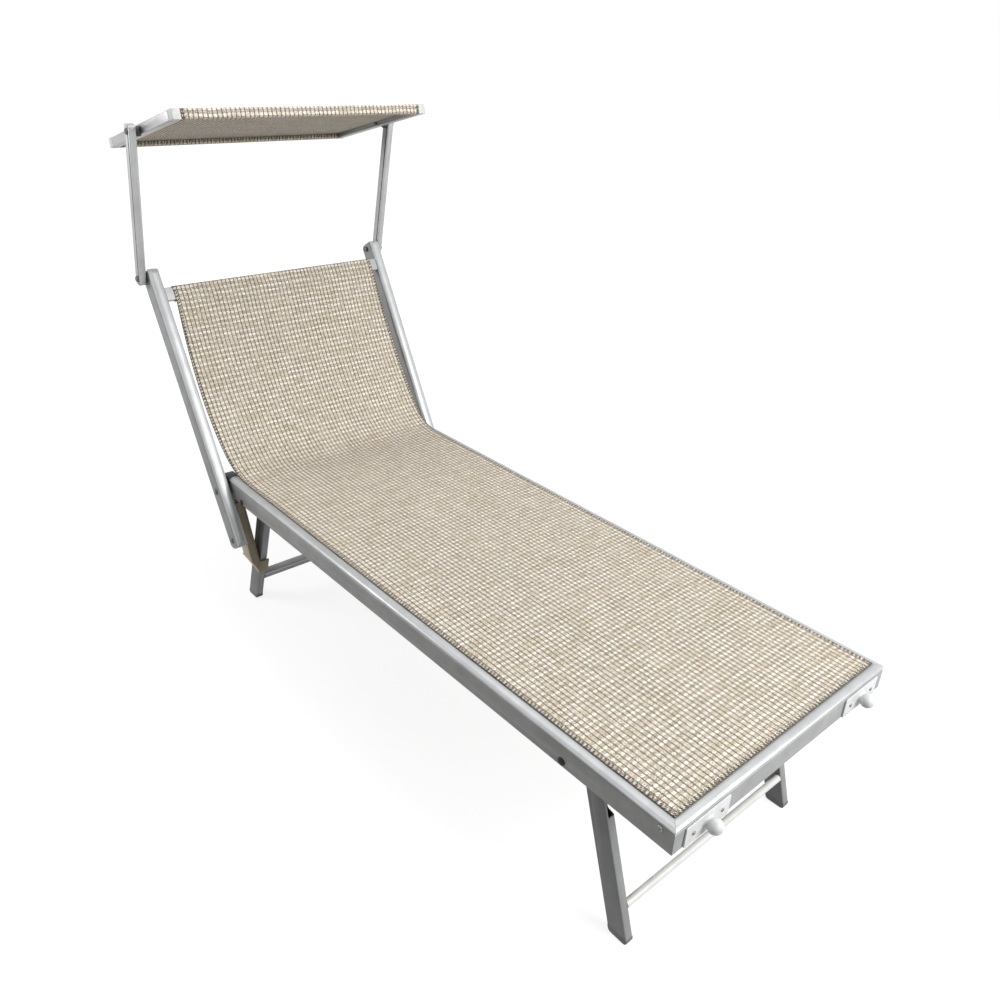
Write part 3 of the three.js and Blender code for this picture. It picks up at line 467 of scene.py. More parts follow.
@dataclass(frozen=True)
class SlingWeave(Finish):
    """Sling cloth woven from PVC-coated polyester, in rows of big cream beads and rows of small taupe ones.

    Each cell holds one bead of either kind. The marks of thin threads show between them, and painted shade
    darkens the hollows between the columns. Along the selvedge the cords turn under, and the gaps between them
    and a line along the rim are painted in shade. The real threads and the twist of the cords are finer than
    the picture shows, so they are drawn as coarse as they need to be to show.
    """

    cream: str = "#fdf6ea"
    yellowed: str = "#f5e9cc"
    pale: str = "#e8decd"
    dull: str = "#bfb19b"
    taupe: str = "#6b5e4a"
    # Painted shade in the hollows between the columns
    hollow_shade: str = "#241d14"
    # Painted shade in the selvedge's gaps and along its rim
    edge: str = "#2e261c"
    ior: float = 1.5
    column_mm: float = 10.56
    row_mm: float = 12.8
    thread_mm: float = 3.4
    twist_mm: float = 1.6
    bead_high_mm: float = 1.2
    bead_half: Point = (0.92, 0.57)
    small_half: Point = (0.88, 0.37)
    stray_mm: float = 33.33
    stray_by_mm: tuple[float, float, float] = (3.0, 5.0, 0.0)
    fleck_mm: float = 2.381
    patch_mm: float = 9.091
    slub_mm: Point = (71.43, 14.286)
    speck_mm: float = 2.857
    cloud_mm: float = 33.33
    turn_mm: float = 8.0
    turned_mm: float = 6.5
    loose_mm: float = 4.545

    def surface(self, add: Adder) -> Socket:
        """The weave, drawn from the cloth's own millimetres: across, along, and distance to its nearest edge.

        Args:
            add: adds a node to the material.

        Returns:
            The shader's output.
        """
        cloth = add(Kind.CLOTH_PLACE)
        strayed = add(Kind.SPLIT, self.strayed(add, cloth)).node.outputs
        straight = add(Kind.SPLIT, cloth).node.outputs
        across = add(Kind.DIVIDE, strayed[0], self.column_mm)
        onwards = add(Kind.DIVIDE, strayed[1], self.row_mm)
        column = add(Kind.FLOOR, across)
        by_cell = add(Kind.RANDOM_BY_PLACE, add(Kind.JOIN, column, add(Kind.FLOOR, onwards), 0.0))
        by_column = add(Kind.RANDOM_BY_NUMBER, column)

        # How far the point lies from its bead's middle, as shares of half a cell, and both beads' outlines
        off_x = self.from_middle(add, across)
        off_y = self.from_middle(add, onwards)
        size = add(Kind.ADD, add(Kind.MULTIPLY, by_cell, 0.35), 0.8)
        bead = self.outline(add, off_x, off_y, self.bead_half, size)
        small = self.outline(add, off_x, add(Kind.SUBTRACT, 1.0, off_y), self.small_half, size)

        # Painted shade in the hollows along the columns, broken by the threads, deeper beside some columns
        beat = add(Kind.SINE, add(Kind.MULTIPLY, strayed[1], 2 * math.pi / self.thread_mm))
        beat = add(Kind.ADD, 0.8, add(Kind.MULTIPLY, beat, 0.2))
        shade_line = add(Kind.MULTIPLY, add(Kind.ADD, 0.7, add(Kind.MULTIPLY, by_column, 0.3)), beat)
        shade_line = add(Kind.MULTIPLY, add(Kind.EASE, off_x, 0.75, 0.86), shade_line)

        colour = self.ground(add, cloth, strayed)
        faint = add(Kind.MULTIPLY, small, 0.85)
        colour = add(Kind.COLOUR_BETWEEN, faint, colour, self.small_cord(add, cloth))
        colour = add(Kind.COLOUR_BETWEEN, bead, colour, self.cord(add, cloth, by_cell))
        colour = add(Kind.COLOUR_BETWEEN, self.flecks(add, cloth), colour, linear(self.taupe))
        colour = add(Kind.COLOUR_BETWEEN, shade_line, colour, linear(self.hollow_shade))
        # Painted shade along the selvedge
        colour = add(Kind.COLOUR_BETWEEN, self.turned_cord_shade(add, straight), colour, linear(self.edge))

        # The beads' height, and the twist of their cords
        twist_at = add(Kind.ADD, straight[0], add(Kind.MULTIPLY, straight[1], 0.8))
        twist = add(Kind.SINE, add(Kind.MULTIPLY, twist_at, 2 * math.pi / self.twist_mm))
        height = add(Kind.LARGER, bead, add(Kind.MULTIPLY, small, 0.6))
        height = add(Kind.ADD, height, add(Kind.MULTIPLY, twist, 0.05))
        bump = add(Kind.BUMP, 0.7, self.bead_high_mm * MM, height)
        gloss = add(Kind.SUBTRACT, 0.75, add(Kind.MULTIPLY, bead, 0.22))
        return add(Kind.PLASTIC, colour, gloss, self.ior, bump)

    def strayed(self, add: Adder, cloth: Socket) -> Socket:
        """Lets the cords wander a little.

        Args:
            add: adds a node to the material.
            cloth: the place on the cloth, in millimetres.

        Returns:
            The place with the wandering added.
        """
        wander = add(Kind.NOISE, cloth, 1 / self.stray_mm, 2.0).node.outputs["Color"]
        either_way = add(Kind.MOVE_BACK, wander, (0.5, 0.5, 0.5))
        return add(Kind.MOVE, cloth, add(Kind.STRETCH, either_way, self.stray_by_mm))

    @staticmethod
    def from_middle(add: Adder, cells: Socket) -> Socket:
        """0 in the middle of each cell and 1 at its edges."""
        share = add(Kind.SUBTRACT, add(Kind.FRACTION, cells), 0.5)
        return add(Kind.MULTIPLY, add(Kind.ABSOLUTE, share), 2.0)

    @staticmethod
    def outline(add: Adder, off_x: Socket, off_y: Socket, half: Point, size: Socket) -> Socket:
        """One kind of bead.

        Args:
            add: adds a node to the material.
            off_x: how far the point lies from the bead's middle across the cloth, as a share of half a cell.
            off_y: the same along the cloth.
            half: the bead's half width and half height in that share.
            size: the bead's own size, about 1.

        Returns:
            1 on the bead, 0 off it.
        """
        wide = add(Kind.POWER, add(Kind.DIVIDE, off_x, half[0]), 3.2)
        tall = add(Kind.POWER, add(Kind.DIVIDE, off_y, half[1]), 2.6)
        dome = add(Kind.DIVIDE, add(Kind.ADD, wide, tall), size)
        return add(Kind.SUBTRACT, 1.0, add(Kind.EASE, dome, 0.6, 1.25))

    def flecks(self, add: Adder, cloth: Socket) -> Socket:
        """Dark flecks between the turns of the cords, as 0 beside them and up to 0.85 on them."""
        fine = add(Kind.NOISE, cloth, 1 / self.fleck_mm, 2.0)
        return add(Kind.MULTIPLY, add(Kind.EASE, fine, 0.5, 0.68), 0.85)

    def small_cord(self, add: Adder, cloth: Socket) -> Socket:
        """The small beads' colour, which wanders between pale and dull."""
        patch = add(Kind.NOISE, cloth, 1 / self.patch_mm, 3.0)
        return add(Kind.COLOUR_BETWEEN, add(Kind.EASE, patch, 0.35, 0.65), linear(self.pale), linear(self.dull))

    def cord(self, add: Adder, cloth: Socket, by_cell: Socket) -> Socket:
        """The beads' colour: cream, yellower and darker along some stretches of a row.

        Args:
            add: adds a node to the material.
            cloth: the place on the cloth, in millimetres.
            by_cell: a value of its own for each cell, from 0 to 1.

        Returns:
            The colour.
        """
        slub_at = add(Kind.STRETCH, cloth, (1 / self.slub_mm[0], 1 / self.slub_mm[1], 0.0))
        slub = add(Kind.NOISE, slub_at, 1.0, 3.0)
        yellow = add(Kind.EASE, slub, 0.5, 0.68)
        aged = add(Kind.COLOUR_BETWEEN, yellow, linear(self.cream), linear(self.yellowed))
        dim = add(Kind.ADD, add(Kind.MULTIPLY, by_cell, 0.5), add(Kind.SUBTRACT, slub, 0.52))
        return add(Kind.COLOUR_BETWEEN, add(Kind.CLAMP, dim), aged, linear(self.dull))

    def ground(self, add: Adder, cloth: Socket, strayed: bpy.types.bpy_prop_collection) -> Socket:
        """The thin threads under and between the beads.

        Args:
            add: adds a node to the material.
            cloth: the place on the cloth, in millimetres.
            strayed: the outputs across and along, in millimetres, with the wandering added.

        Returns:
            The colour, in pale and dark marks of single threads.
        """
        over = add(Kind.SINE, add(Kind.MULTIPLY, strayed[0], 2 * math.pi / (self.column_mm / 3)))
        under = add(Kind.SINE, add(Kind.MULTIPLY, strayed[1], 2 * math.pi / self.thread_mm))
        marks = add(Kind.ADD, add(Kind.MULTIPLY, add(Kind.MULTIPLY, over, under), 0.5), 0.5)
        fine = add(Kind.NOISE, cloth, 1 / self.speck_mm, 3.0)
        broad = add(Kind.NOISE, cloth, 1 / self.cloud_mm, 2.0)
        share = add(Kind.ADD, add(Kind.MULTIPLY, marks, 0.6), add(Kind.MULTIPLY, fine, 0.5))
        share = add(Kind.ADD, share, add(Kind.MULTIPLY, add(Kind.SUBTRACT, broad, 0.55), 0.6))
        return add(Kind.COLOUR_BETWEEN, add(Kind.EASE, share, 0.2, 0.85), linear(self.taupe), linear(self.pale))

    def turned_cord_shade(self, add: Adder, straight: bpy.types.bpy_prop_collection) -> Socket:
        """How much painted shade the selvedge takes.

        Args:
            add: adds a node to the material.
            straight: the outputs across, along and distance to the edge, in millimetres.

        Returns:
            0 on the open cloth, up to 1 in the painted shade of the gaps between the turned cords, and 0.75 in
            a painted shadow line along the rim.
        """
        near = add(Kind.SUBTRACT, 1.0, add(Kind.EASE, straight[2], self.turned_mm, self.turned_mm + 3.0))
        # A painted shadow line along the very rim of the cloth
        rim = add(Kind.SUBTRACT, 1.0, add(Kind.EASE, straight[2], 0.4, 2.0))
        run = add(Kind.ADD, straight[0], straight[1])
        turns = add(Kind.SINE, add(Kind.MULTIPLY, run, 2 * math.pi / self.turn_mm))
        across = add(Kind.SINE, add(Kind.MULTIPLY, straight[2], 2 * math.pi / self.turned_mm))
        spread = add(Kind.JOIN, add(Kind.MULTIPLY, run, 1 / self.loose_mm), straight[2], 0.0)
        loose = add(Kind.NOISE, spread, 1.0, 2.0)
        turns = add(Kind.ADD, add(Kind.MULTIPLY, turns, across), add(Kind.MULTIPLY, loose, 1.4))
        turns = add(Kind.MULTIPLY, add(Kind.EASE, turns, 0.45, 0.95), 0.95)
        return add(Kind.LARGER, add(Kind.MULTIPLY, near, turns), add(Kind.MULTIPLY, rim, 0.75))


# The side rails' flats: the same aluminium as the foot rail, painted darker as the shade on faces turned from
# the key light
SHADED_RAIL_ALUMINIUM = MillAluminium("aluminium side rails painted shade", "aluminium", "#878786", "#777776", 0.3, 0.42)
# The foot rail and canopy bars: the same aluminium as the side rails, painted lighter as the light on their
# faces
LIT_BAR_ALUMINIUM = MillAluminium("aluminium crossbars painted light", "aluminium", "#a5a6a6", "#959696", 0.2, 0.6)
UPRIGHT_ALUMINIUM = MillAluminium("aluminium uprights", "aluminium", "#969797", "#868786", 0.2, 0.55)
# The beads, the rear crossbar and the top bar: the same aluminium, painted lighter as the highlight where faces
# look up to the lamps
LIT_BEAD_ALUMINIUM = MillAluminium("aluminium bead painted light", "aluminium", "#c2c4c5", "#b1b3b4", 0.3, 0.4)
# The groove between an arm's flat and its bead, painted dark as the shade inside it
SHADED_GROOVE_ALUMINIUM = MillAluminium("aluminium groove painted shade", "aluminium", "#606161", "#505151", 0.2, 0.55)
# The legs: one aluminium in two copies, the outer faces painted dark as shade and the front faces painted
# lighter as lit
SHADED_LEG_ALUMINIUM = MillAluminium("aluminium legs painted shade", "aluminium", "#676666", "#5b5a5a", 0.15, 0.45)
LIT_LEG_FRONT_ALUMINIUM = MillAluminium("aluminium leg fronts painted light", "aluminium", "#939594", "#828483", 0.2, 0.42)
ARM_ALUMINIUM = MillAluminium("aluminium arms", "aluminium", "#b9bab9", "#a8a9a8", 0.3, 0.4)
WHITE_TUBE = PowderCoat("powder coated tube", "painted_tube")
WHITE_PLASTIC = MouldedPlastic("white polypropylene", "white_plastic")
BLACK_PLASTIC = MouldedPlastic("black nylon", "black_plastic", "#1d1d1e", "#2a2a2b", 0.45, 0.7, 1.53)
GREY_PLASTIC = MouldedPlastic("grey polyethylene", "grey_plastic", "#6c6b6b", "#616060", 0.5, 0.8, 1.5)
STAY_PLASTIC = MouldedPlastic("beige nylon", "beige_plastic", "#a5967e", "#b3a58d", 0.45, 0.9, 1.53)
ZINC = PlatedSteel("zinc plated steel", "zinc_steel", "#9fa09e", "#5e5f5d")
DARK_BOLT = PlatedSteel("black oxide steel", "zinc_steel", "#262627", "#333334", 0.45)
PIVOT_BOLT = PlatedSteel("weathered zinc steel", "zinc_steel", "#707173", "#4a4b4c", 0.35)
CLOTH = SlingWeave("woven sling cloth", "weave")


# Mesh work


def put(name: str, data: bpy.types.ID) -> bpy.types.Object:
    """Puts an object into the scene.

    Args:
        name: its name.
        data: its mesh, lamp or camera.

    Returns:
        The object.
    """
    obj = bpy.data.objects.new(name, data)
    bpy.context.scene.collection.objects.link(obj)
    return obj


def discard(obj: bpy.types.Object) -> None:
    """Does away with a helper object and its mesh.

    Args:
        obj: the helper.
    """
    mesh = obj.data
    bpy.data.objects.remove(obj)
    bpy.data.meshes.remove(mesh)


def dress(
    name: str, mesh: bpy.types.Mesh, finishes: Sequence[Finish], grain: Placement, smooth: float
) -> bpy.types.Object:
    """Makes an object of a finished mesh: its shading, the place of its patterns, and its materials.

    Args:
        name: the piece's name.
        mesh: its mesh, in metres.
        finishes: its finishes, in the order of its material slots.
        grain: the member frame that its patterns follow.
        smooth: edges sharper than this many degrees stay crisp.

    Returns:
        The object.
    """
    mesh.polygons.foreach_set("use_smooth", [True] * len(mesh.polygons))
    mesh.set_sharp_from_angle(angle=math.radians(smooth))
    mark_place(mesh, grain)
    for finish in finishes:
        mesh.materials.append(finish.material())
    obj = put(name, mesh)
    return obj


def settle(
    name: str,
    mesh: bpy.types.Mesh,
    finishes: Sequence[Finish],
    body: Body,
    grain: Placement,
    replaces: Iterable[str] = (),
    smooth: float = 36,
) -> bpy.types.Object:
    """Makes a piece of a finished mesh and lets it ride on its body.

    Args:
        name: the piece's name.
        mesh: its mesh, in metres.
        finishes: its finishes, in the order of its material slots.
        body: what it moves with.
        grain: the member frame that its patterns follow.
        replaces: the CAD nodes that it stands for.
        smooth: edges sharper than this many degrees stay crisp.

    Returns:
        The piece.
    """
    obj = dress(name, mesh, finishes, grain, smooth)
    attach(obj, body.value)
    nodes = tuple(replaces)
    if nodes:
        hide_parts(*nodes)
    LOG.info("%s rides on %s", name, body.value)
    return obj


def mark_place(mesh: bpy.types.Mesh, grain: Placement) -> None:
    """Stores each point's place in its member, in millimetres, for the patterns.

    Args:
        mesh: the mesh, in metres.
        grain: the member's frame.
    """
    turn = grain.grain()
    values = [c for v in mesh.vertices for c in turn @ v.co]
    attribute = mesh.attributes.new("place_mm", "FLOAT_VECTOR", "POINT")
    attribute.data.foreach_set("vector", values)


def refined(
    node: str,
    finishes: Sequence[Finish],
    body: Body,
    grain: Placement,
    bevel: float = 0.3,
    pick: Callable[[Vector, Vector], int] | None = None,
    steps: int = 2,
) -> bpy.types.Object:
    """A CAD node's shape with its flat facets merged, its edges eased and a finish on it.

    Args:
        node: the CAD node it replaces.
        finishes: one finish, or several that the faces pick from.
        body: what it moves with.
        grain: the member frame that its patterns follow.
        bevel: how far the edges are eased, in millimetres.
        pick: the number of a face's finish, from its centre and normal in the member's millimetres.
        steps: segments of each eased edge.

    Returns:
        The piece.
    """
    same_point, same_plane = 0.002 * MM, math.radians(0.6)
    work = bmesh.new()
    work.from_mesh(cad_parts[node].data)
    bmesh.ops.remove_doubles(work, verts=work.verts, dist=same_point)
    bmesh.ops.dissolve_limit(work, angle_limit=same_plane, verts=work.verts, edges=work.edges)
    mesh = bpy.data.meshes.new(f"{node}_dressed")
    work.to_mesh(mesh)
    work.free()
    if bevel:
        mesh = eased(mesh, bevel, steps)
    mesh.materials.clear()
    obj = settle(f"{node}_dressed", mesh, finishes, body, grain, (node,))
    if pick:
        turn = grain.matrix().inverted()
        spin = turn.to_3x3()
        picked = [pick(turn @ face.center, (spin @ face.normal).normalized()) for face in mesh.polygons]
        mesh.polygons.foreach_set("material_index", picked)
    return obj


def domed(obj: bpy.types.Object, place: Placement, middle: float, top: float, height: float) -> None:
    """Narrows the top end of a member across its thickness, so that it ends in a dome.

    Args:
        obj: the piece.
        place: its member's frame.
        middle: the middle of its thickness in x, in millimetres.
        top: how far up the member it ends.
        height: how high the dome is.
    """
    # Shares of the dome's height at which it is cut, and the share of the width that its crest keeps
    cuts = (0.0, 0.35, 0.62, 0.82, 0.94)
    crest = 0.3
    work = bmesh.new()
    work.from_mesh(obj.data)
    work.transform(place.matrix().inverted())
    for share in cuts:
        cut = Vector((0, 0, top - height + height * share))
        parts = [*work.verts, *work.edges, *work.faces]
        bmesh.ops.bisect_plane(work, geom=parts, dist=1e-4, plane_co=cut, plane_no=(0, 0, 1))
    for vert in work.verts:
        up = min(max((vert.co.z - top + height) / height, 0.0), 1.0)
        vert.co.x = middle + (vert.co.x - middle) * (crest + (1 - crest) * math.sqrt(1 - up * up))
    work.transform(place.matrix())
    work.to_mesh(obj.data)
    work.free()


def eased(mesh: bpy.types.Mesh, width: float, steps: int = 2) -> bpy.types.Mesh:
    """Rounds a mesh's sharp edges.

    Args:
        mesh: the mesh, in metres.
        width: the rounding's width, in millimetres.
        steps: how many faces each rounding has.

    Returns:
        The rounded mesh.
    """
    holder = put("holder", mesh)
    modifier = holder.modifiers.new("ease", "BEVEL")
    modifier.width = width * MM
    modifier.segments = steps
    modifier.limit_method = "ANGLE"
    modifier.angle_limit = math.radians(50)
    modifier.use_clamp_overlap = True
    return applied(holder)


def applied(holder: bpy.types.Object) -> bpy.types.Mesh:
    """Applies an object's modifiers and does away with the object.

    Args:
        holder: the object.

    Returns:
        The mesh that the modifiers make.
    """
    bpy.context.view_layer.update()
    graph = bpy.context.evaluated_depsgraph_get()
    made = bpy.data.meshes.new_from_object(holder.evaluated_get(graph))
    name = holder.data.name
    discard(holder)
    made.name = name
    return made


def face_out(mesh: bpy.types.Mesh) -> None:
    """Turns a closed mesh's faces out.

    Args:
        mesh: the mesh.
    """
    work = bmesh.new()
    work.from_mesh(mesh)
    bmesh.ops.recalc_face_normals(work, faces=work.faces)
    work.to_mesh(mesh)
    work.free()


def mesh_of(
    name: str, points: Sequence[Sequence[float]], faces: Sequence[Sequence[int]], place: Matrix
) -> bpy.types.Mesh:
    """A mesh with its faces turned out.

    Args:
        name: the mesh's name.
        points: its points, in the member's millimetres.
        faces: the points of each face.
        place: from the member's millimetres to the scene.

    Returns:
        The mesh, in metres.
    """
    mesh = bpy.data.meshes.new(name)
    mesh.from_pydata([place @ Vector(p) for p in points], [], faces)
    face_out(mesh)
    return mesh


def lathe(name: str, profile: Sequence[Point], steps: int, place: Matrix) -> bpy.types.Mesh:
    """A turned solid about the local Z axis.

    Args:
        name: the mesh's name.
        profile: (radius, z) points; those on the axis close it.
        steps: how many sides it has.
        place: from the local frame to the scene.

    Returns:
        The mesh.
    """
    points: list[tuple[float, float, float]] = []
    rings: list[list[int]] = []
    for radius, z in profile:
        first = len(points)
        if radius < 1e-6:
            points.append((0, 0, z))
            rings.append([first])
            continue
        for i in range(steps):
            angle = 2 * math.pi * i / steps
            points.append((radius * math.cos(angle), radius * math.sin(angle), z))
        rings.append(list(range(first, first + steps)))
    faces: list[list[int]] = []
    pairs = list(zip(rings, rings[1:]))
    if len(rings[0]) > 1 and len(rings[-1]) > 1:
        pairs.append((rings[-1], rings[0]))
    for low, high in pairs:
        for i in range(steps):
            j = (i + 1) % steps
            ring = [low[i % len(low)], low[j % len(low)], high[j % len(high)], high[i % len(high)]]
            face = list(dict.fromkeys(ring))
            if len(face) > 2:
                faces.append(face)
    return mesh_of(name, points, faces, place)


def rounded_outline(corners: Sequence[tuple[float, float, float]], steps: int = 5) -> list[Point]:
    """An outline with rounded corners.

    Args:
        corners: each corner's x, y and radius.
        steps: how many pieces each round has.

    Returns:
        The outline's points.
    """
    outline: list[Point] = []
    for i, (x, y, radius) in enumerate(corners):
        here = Vector((x, y))
        if radius <= 0:
            outline.append((x, y))
            continue
        before = (Vector(corners[i - 1][:2]) - here).normalized()
        after = (Vector(corners[(i + 1) % len(corners)][:2]) - here).normalized()
        half = before.angle(after) / 2
        centre = here + (before + after).normalized() * radius / math.sin(half)
        start = here + before * radius / math.tan(half) - centre
        finish = here + after * radius / math.tan(half) - centre
        sweep = start.angle_signed(finish)
        for k in range(steps + 1):
            turn = Matrix.Rotation(-sweep * k / steps, 2)
            outline.append(tuple(centre + turn @ start))
    return outline


def prism(name: str, outline: Sequence[Point], low: float, high: float, place: Matrix) -> bpy.types.Mesh:
    """A prism.

    Args:
        name: the mesh's name.
        outline: its outline in the local x and y.
        low: the local z of its bottom.
        high: the local z of its top.
        place: from the local millimetres to the scene.

    Returns:
        The mesh, in metres.
    """
    count = len(outline)
    points = [(x, y, z) for z in (low, high) for x, y in outline]
    faces = [list(range(count)), list(range(count, 2 * count))]
    faces += [[i, (i + 1) % count, count + (i + 1) % count, count + i] for i in range(count)]
    return mesh_of(name, points, faces, place)


def spaced(outline: Sequence[Point], reach: float) -> list[Point]:
    """An outline with points added on its long stretches.

    Args:
        outline: its points.
        reach: about how far apart two points may lie, in millimetres.

    Returns:
        Every point after the first.
    """
    path: list[Point] = []
    for (u0, s0), (u1, s1) in zip(outline, outline[1:]):
        steps = max(1, int(math.hypot(u1 - u0, s1 - s0) / reach))
        path += [(u0 + (u1 - u0) * i / steps, s0 + (s1 - s0) * i / steps) for i in range(1, steps + 1)]
    return path


def turned_to(axis: Sequence[float], at: Sequence[float]) -> Matrix:
    """A local frame in millimetres whose Z runs along an axis."""
    turn = Vector((0, 0, 1)).rotation_difference(Vector(axis)).to_matrix().to_4x4()
    return Matrix.Translation(Vector(at)) @ turn


# Cloth

# How far apart the points of a sleeve's path may lie, in millimetres
SLEEVE_REACH = 5


@dataclass
class Cloth:
    """A woven sheet along a path in the (u, s) plane of a member, with its own place for the weave."""

    name: str
    path: list[Point]
    half_widths: list[float]
    thick: float = 1.6
    columns: int = 56
    crown: Callable[[float, float], float] = field(default=lambda a, b: 0.0)

    def lengths(self) -> list[float]:
        """How far along the path each of its points lies.

        Returns:
            The distances, in millimetres.
        """
        found = [0.0]
        for (x0, y0), (x1, y1) in zip(self.path, self.path[1:]):
            found.append(found[-1] + math.hypot(x1 - x0, y1 - y0))
        return found

    def mesh(self, place: Matrix) -> bpy.types.Mesh:
        """The closed sheet.

        Args:
            place: from the path's frame, in millimetres, to the scene.

        Returns:
            The mesh, with the attribute that the weave follows.
        """
        runs = self.lengths()
        total = runs[-1]
        rows = len(self.path)
        points: list[tuple[float, float, float]] = []
        marks: list[float] = []
        for side in (1, -1):
            for j, (u, s) in enumerate(self.path):
                before = self.path[max(j - 1, 0)]
                after = self.path[min(j + 1, rows - 1)]
                du, ds = after[0] - before[0], after[1] - before[1]
                size = math.hypot(du, ds) or 1.0
                normal = (-ds / size, du / size)
                half = self.half_widths[j]
                for i in range(self.columns + 1):
                    a = i / self.columns
                    x = (2 * a - 1) * half
                    lift = self.crown(a, runs[j] / total) + side * self.thick / 2
                    points.append((x, u + normal[0] * lift, s + normal[1] * lift))
                    edge = min(half - abs(x), runs[j], total - runs[j])
                    marks.extend((x, runs[j], edge))
        faces = self.faces(rows)
        mesh = bpy.data.meshes.new(self.name)
        mesh.from_pydata([place @ Vector(p) for p in points], [], faces)
        attribute = mesh.attributes.new("cloth_mm", "FLOAT_VECTOR", "POINT")
        attribute.data.foreach_set("vector", marks)
        face_out(mesh)
        return mesh

    def faces(self, rows: int) -> list[list[int]]:
        """Both skins and the rim that joins them.

        Args:
            rows: how many points the path has.

        Returns:
            The points of each face.
        """
        width = self.columns + 1
        layer = width * rows
        faces: list[list[int]] = []
        for k in (0, 1):
            for j in range(rows - 1):
                for i in range(self.columns):
                    first = k * layer + j * width + i
                    ring = [first, first + 1, first + width + 1, first + width]
                    faces.append(ring if k == 0 else ring[::-1])
        for i in range(self.columns):
            for j in (0, rows - 1):
                first = j * width + i
                faces.append([first, first + 1, layer + first + 1, layer + first])
        for j in range(rows - 1):
            for i in (0, self.columns):
                first = j * width + i
                faces.append([first, first + width, layer + first + width, layer + first])
        return faces


def mixed(a: Vector, b: Vector, low: float, high: float, at: float) -> Vector:
    """The point between two that belong to two values, for a value between those."""
    return a * ((high - at) / (high - low)) + b * ((at - low) / (high - low))


def curve_through(points: Sequence[Point], steps: int) -> list[Point]:
    """A smooth centripetal curve, as the part's source draws its sling.

    Args:
        points: the points it runs through.
        steps: how many pieces each stretch between two of them has.

    Returns:
        The curve's points.
    """
    given = [Vector(p) for p in points]
    given = [given[0] * 2 - given[1], *given, given[-1] * 2 - given[-2]]
    found: list[Point] = []
    for k in range(1, len(given) - 2):
        p0, p1, p2, p3 = given[k - 1 : k + 3]
        t0 = 0.0
        t1 = t0 + math.sqrt((p1 - p0).length)
        t2 = t1 + math.sqrt((p2 - p1).length)
        t3 = t2 + math.sqrt((p3 - p2).length)
        for i in range(steps):
            t = t1 + (t2 - t1) * i / steps
            a1, a2, a3 = mixed(p0, p1, t0, t1, t), mixed(p1, p2, t1, t2, t), mixed(p2, p3, t2, t3, t)
            b1, b2 = mixed(a1, a2, t0, t2, t), mixed(a2, a3, t1, t3, t)
            found.append(tuple(mixed(b1, b2, t1, t2, t)))
    found.append(tuple(given[-2]))
    return found


@dataclass(frozen=True)
class Seam:
    """A row of sewn stitches. A stitch's tips and shoulders are shares of the distance between two of them."""

    pitch: float = 4.6
    thread: float = 0.9
    from_edge: float = 6
    tip: float = 0.34
    shoulder: float = 0.2

    def mesh(self, name: str, half_width: float, row: Point, place: Matrix) -> bpy.types.Mesh:
        """The stitches across a cloth.

        Args:
            name: the mesh's name.
            half_width: half the cloth's width.
            row: where the row lies in the member's (u, s).
            place: from the member's millimetres to the scene.

        Returns:
            One mesh of all the stitches.
        """
        u, s = row
        pitch, radius, sides = self.pitch, self.thread / 2, 6
        half = half_width - self.from_edge
        points: list[tuple[float, float, float]] = []
        faces: list[list[int]] = []
        for k in range(int(2 * half / pitch)):
            x = -half + pitch * (k + 0.5)
            first = len(points)
            last = first + 1 + 2 * sides
            points.append((x - pitch * self.tip, u, s))
            for off in (-self.shoulder, self.shoulder):
                for i in range(sides):
                    angle = 2 * math.pi * i / sides
                    points.append((x + pitch * off, u + radius * math.cos(angle), s + radius * math.sin(angle)))
            points.append((x + pitch * self.tip, u, s))
            for i in range(sides):
                near, near_next = first + 1 + i, first + 1 + (i + 1) % sides
                far, far_next = near + sides, near_next + sides
                faces += [[first, near, near_next], [near, far, far_next, near_next], [far, last, far_next]]
        return mesh_of(name, points, faces, place)


# Sub-assemblies


@dataclass(frozen=True)
class PanScrew:
    """A pan-head screw with a cross recess. Its rim and cross are shares of its height and radius."""

    diameter: float
    height: float
    recess: float = 1.1
    rim: float = 0.35
    cross_reach: float = 0.62
    cross_half: float = 0.15

    def build(
        self, name: str, at: Sequence[float], out: Sequence[float], body: Body, finish: Finish
    ) -> bpy.types.Object:
        """Makes the screw's head on a face.

        Args:
            name: the piece's name.
            at: the middle of its seat, in the frame's millimetres.
            out: the direction it points.
            body: what it moves with.
            finish: its finish.

        Returns:
            The piece.
        """
        radius, height = self.diameter / 2, self.height
        profile = [(0.0, 0.0), (radius, 0.0), (radius, height * self.rim)]
        for i in range(1, 6):
            angle = math.pi / 2 * i / 5
            across = radius * math.cos(angle) if i < 5 else 0.0
            profile.append((across, height * (self.rim + (1 - self.rim) * math.sin(angle))))
        place = BED.matrix() @ turned_to(out, at)
        holder = put(name, lathe(name, profile, 24, place))
        arm, half = radius * self.cross_reach, radius * self.cross_half
        cross = [
            (-arm, -half), (-half, -half), (-half, -arm), (half, -arm), (half, -half), (arm, -half),
            (arm, half), (half, half), (half, arm), (-half, arm), (-half, half), (-arm, half),
        ]
        cutter = put("cutter", prism("cutter", cross, height - self.recess, height + 1, place))
        cut = holder.modifiers.new("cross", "BOOLEAN")
        cut.object = cutter
        cut.operation = "DIFFERENCE"
        cut.solver = "EXACT"
        mesh = applied(holder)
        discard(cutter)
        return settle(name, mesh, (finish,), body, BED)


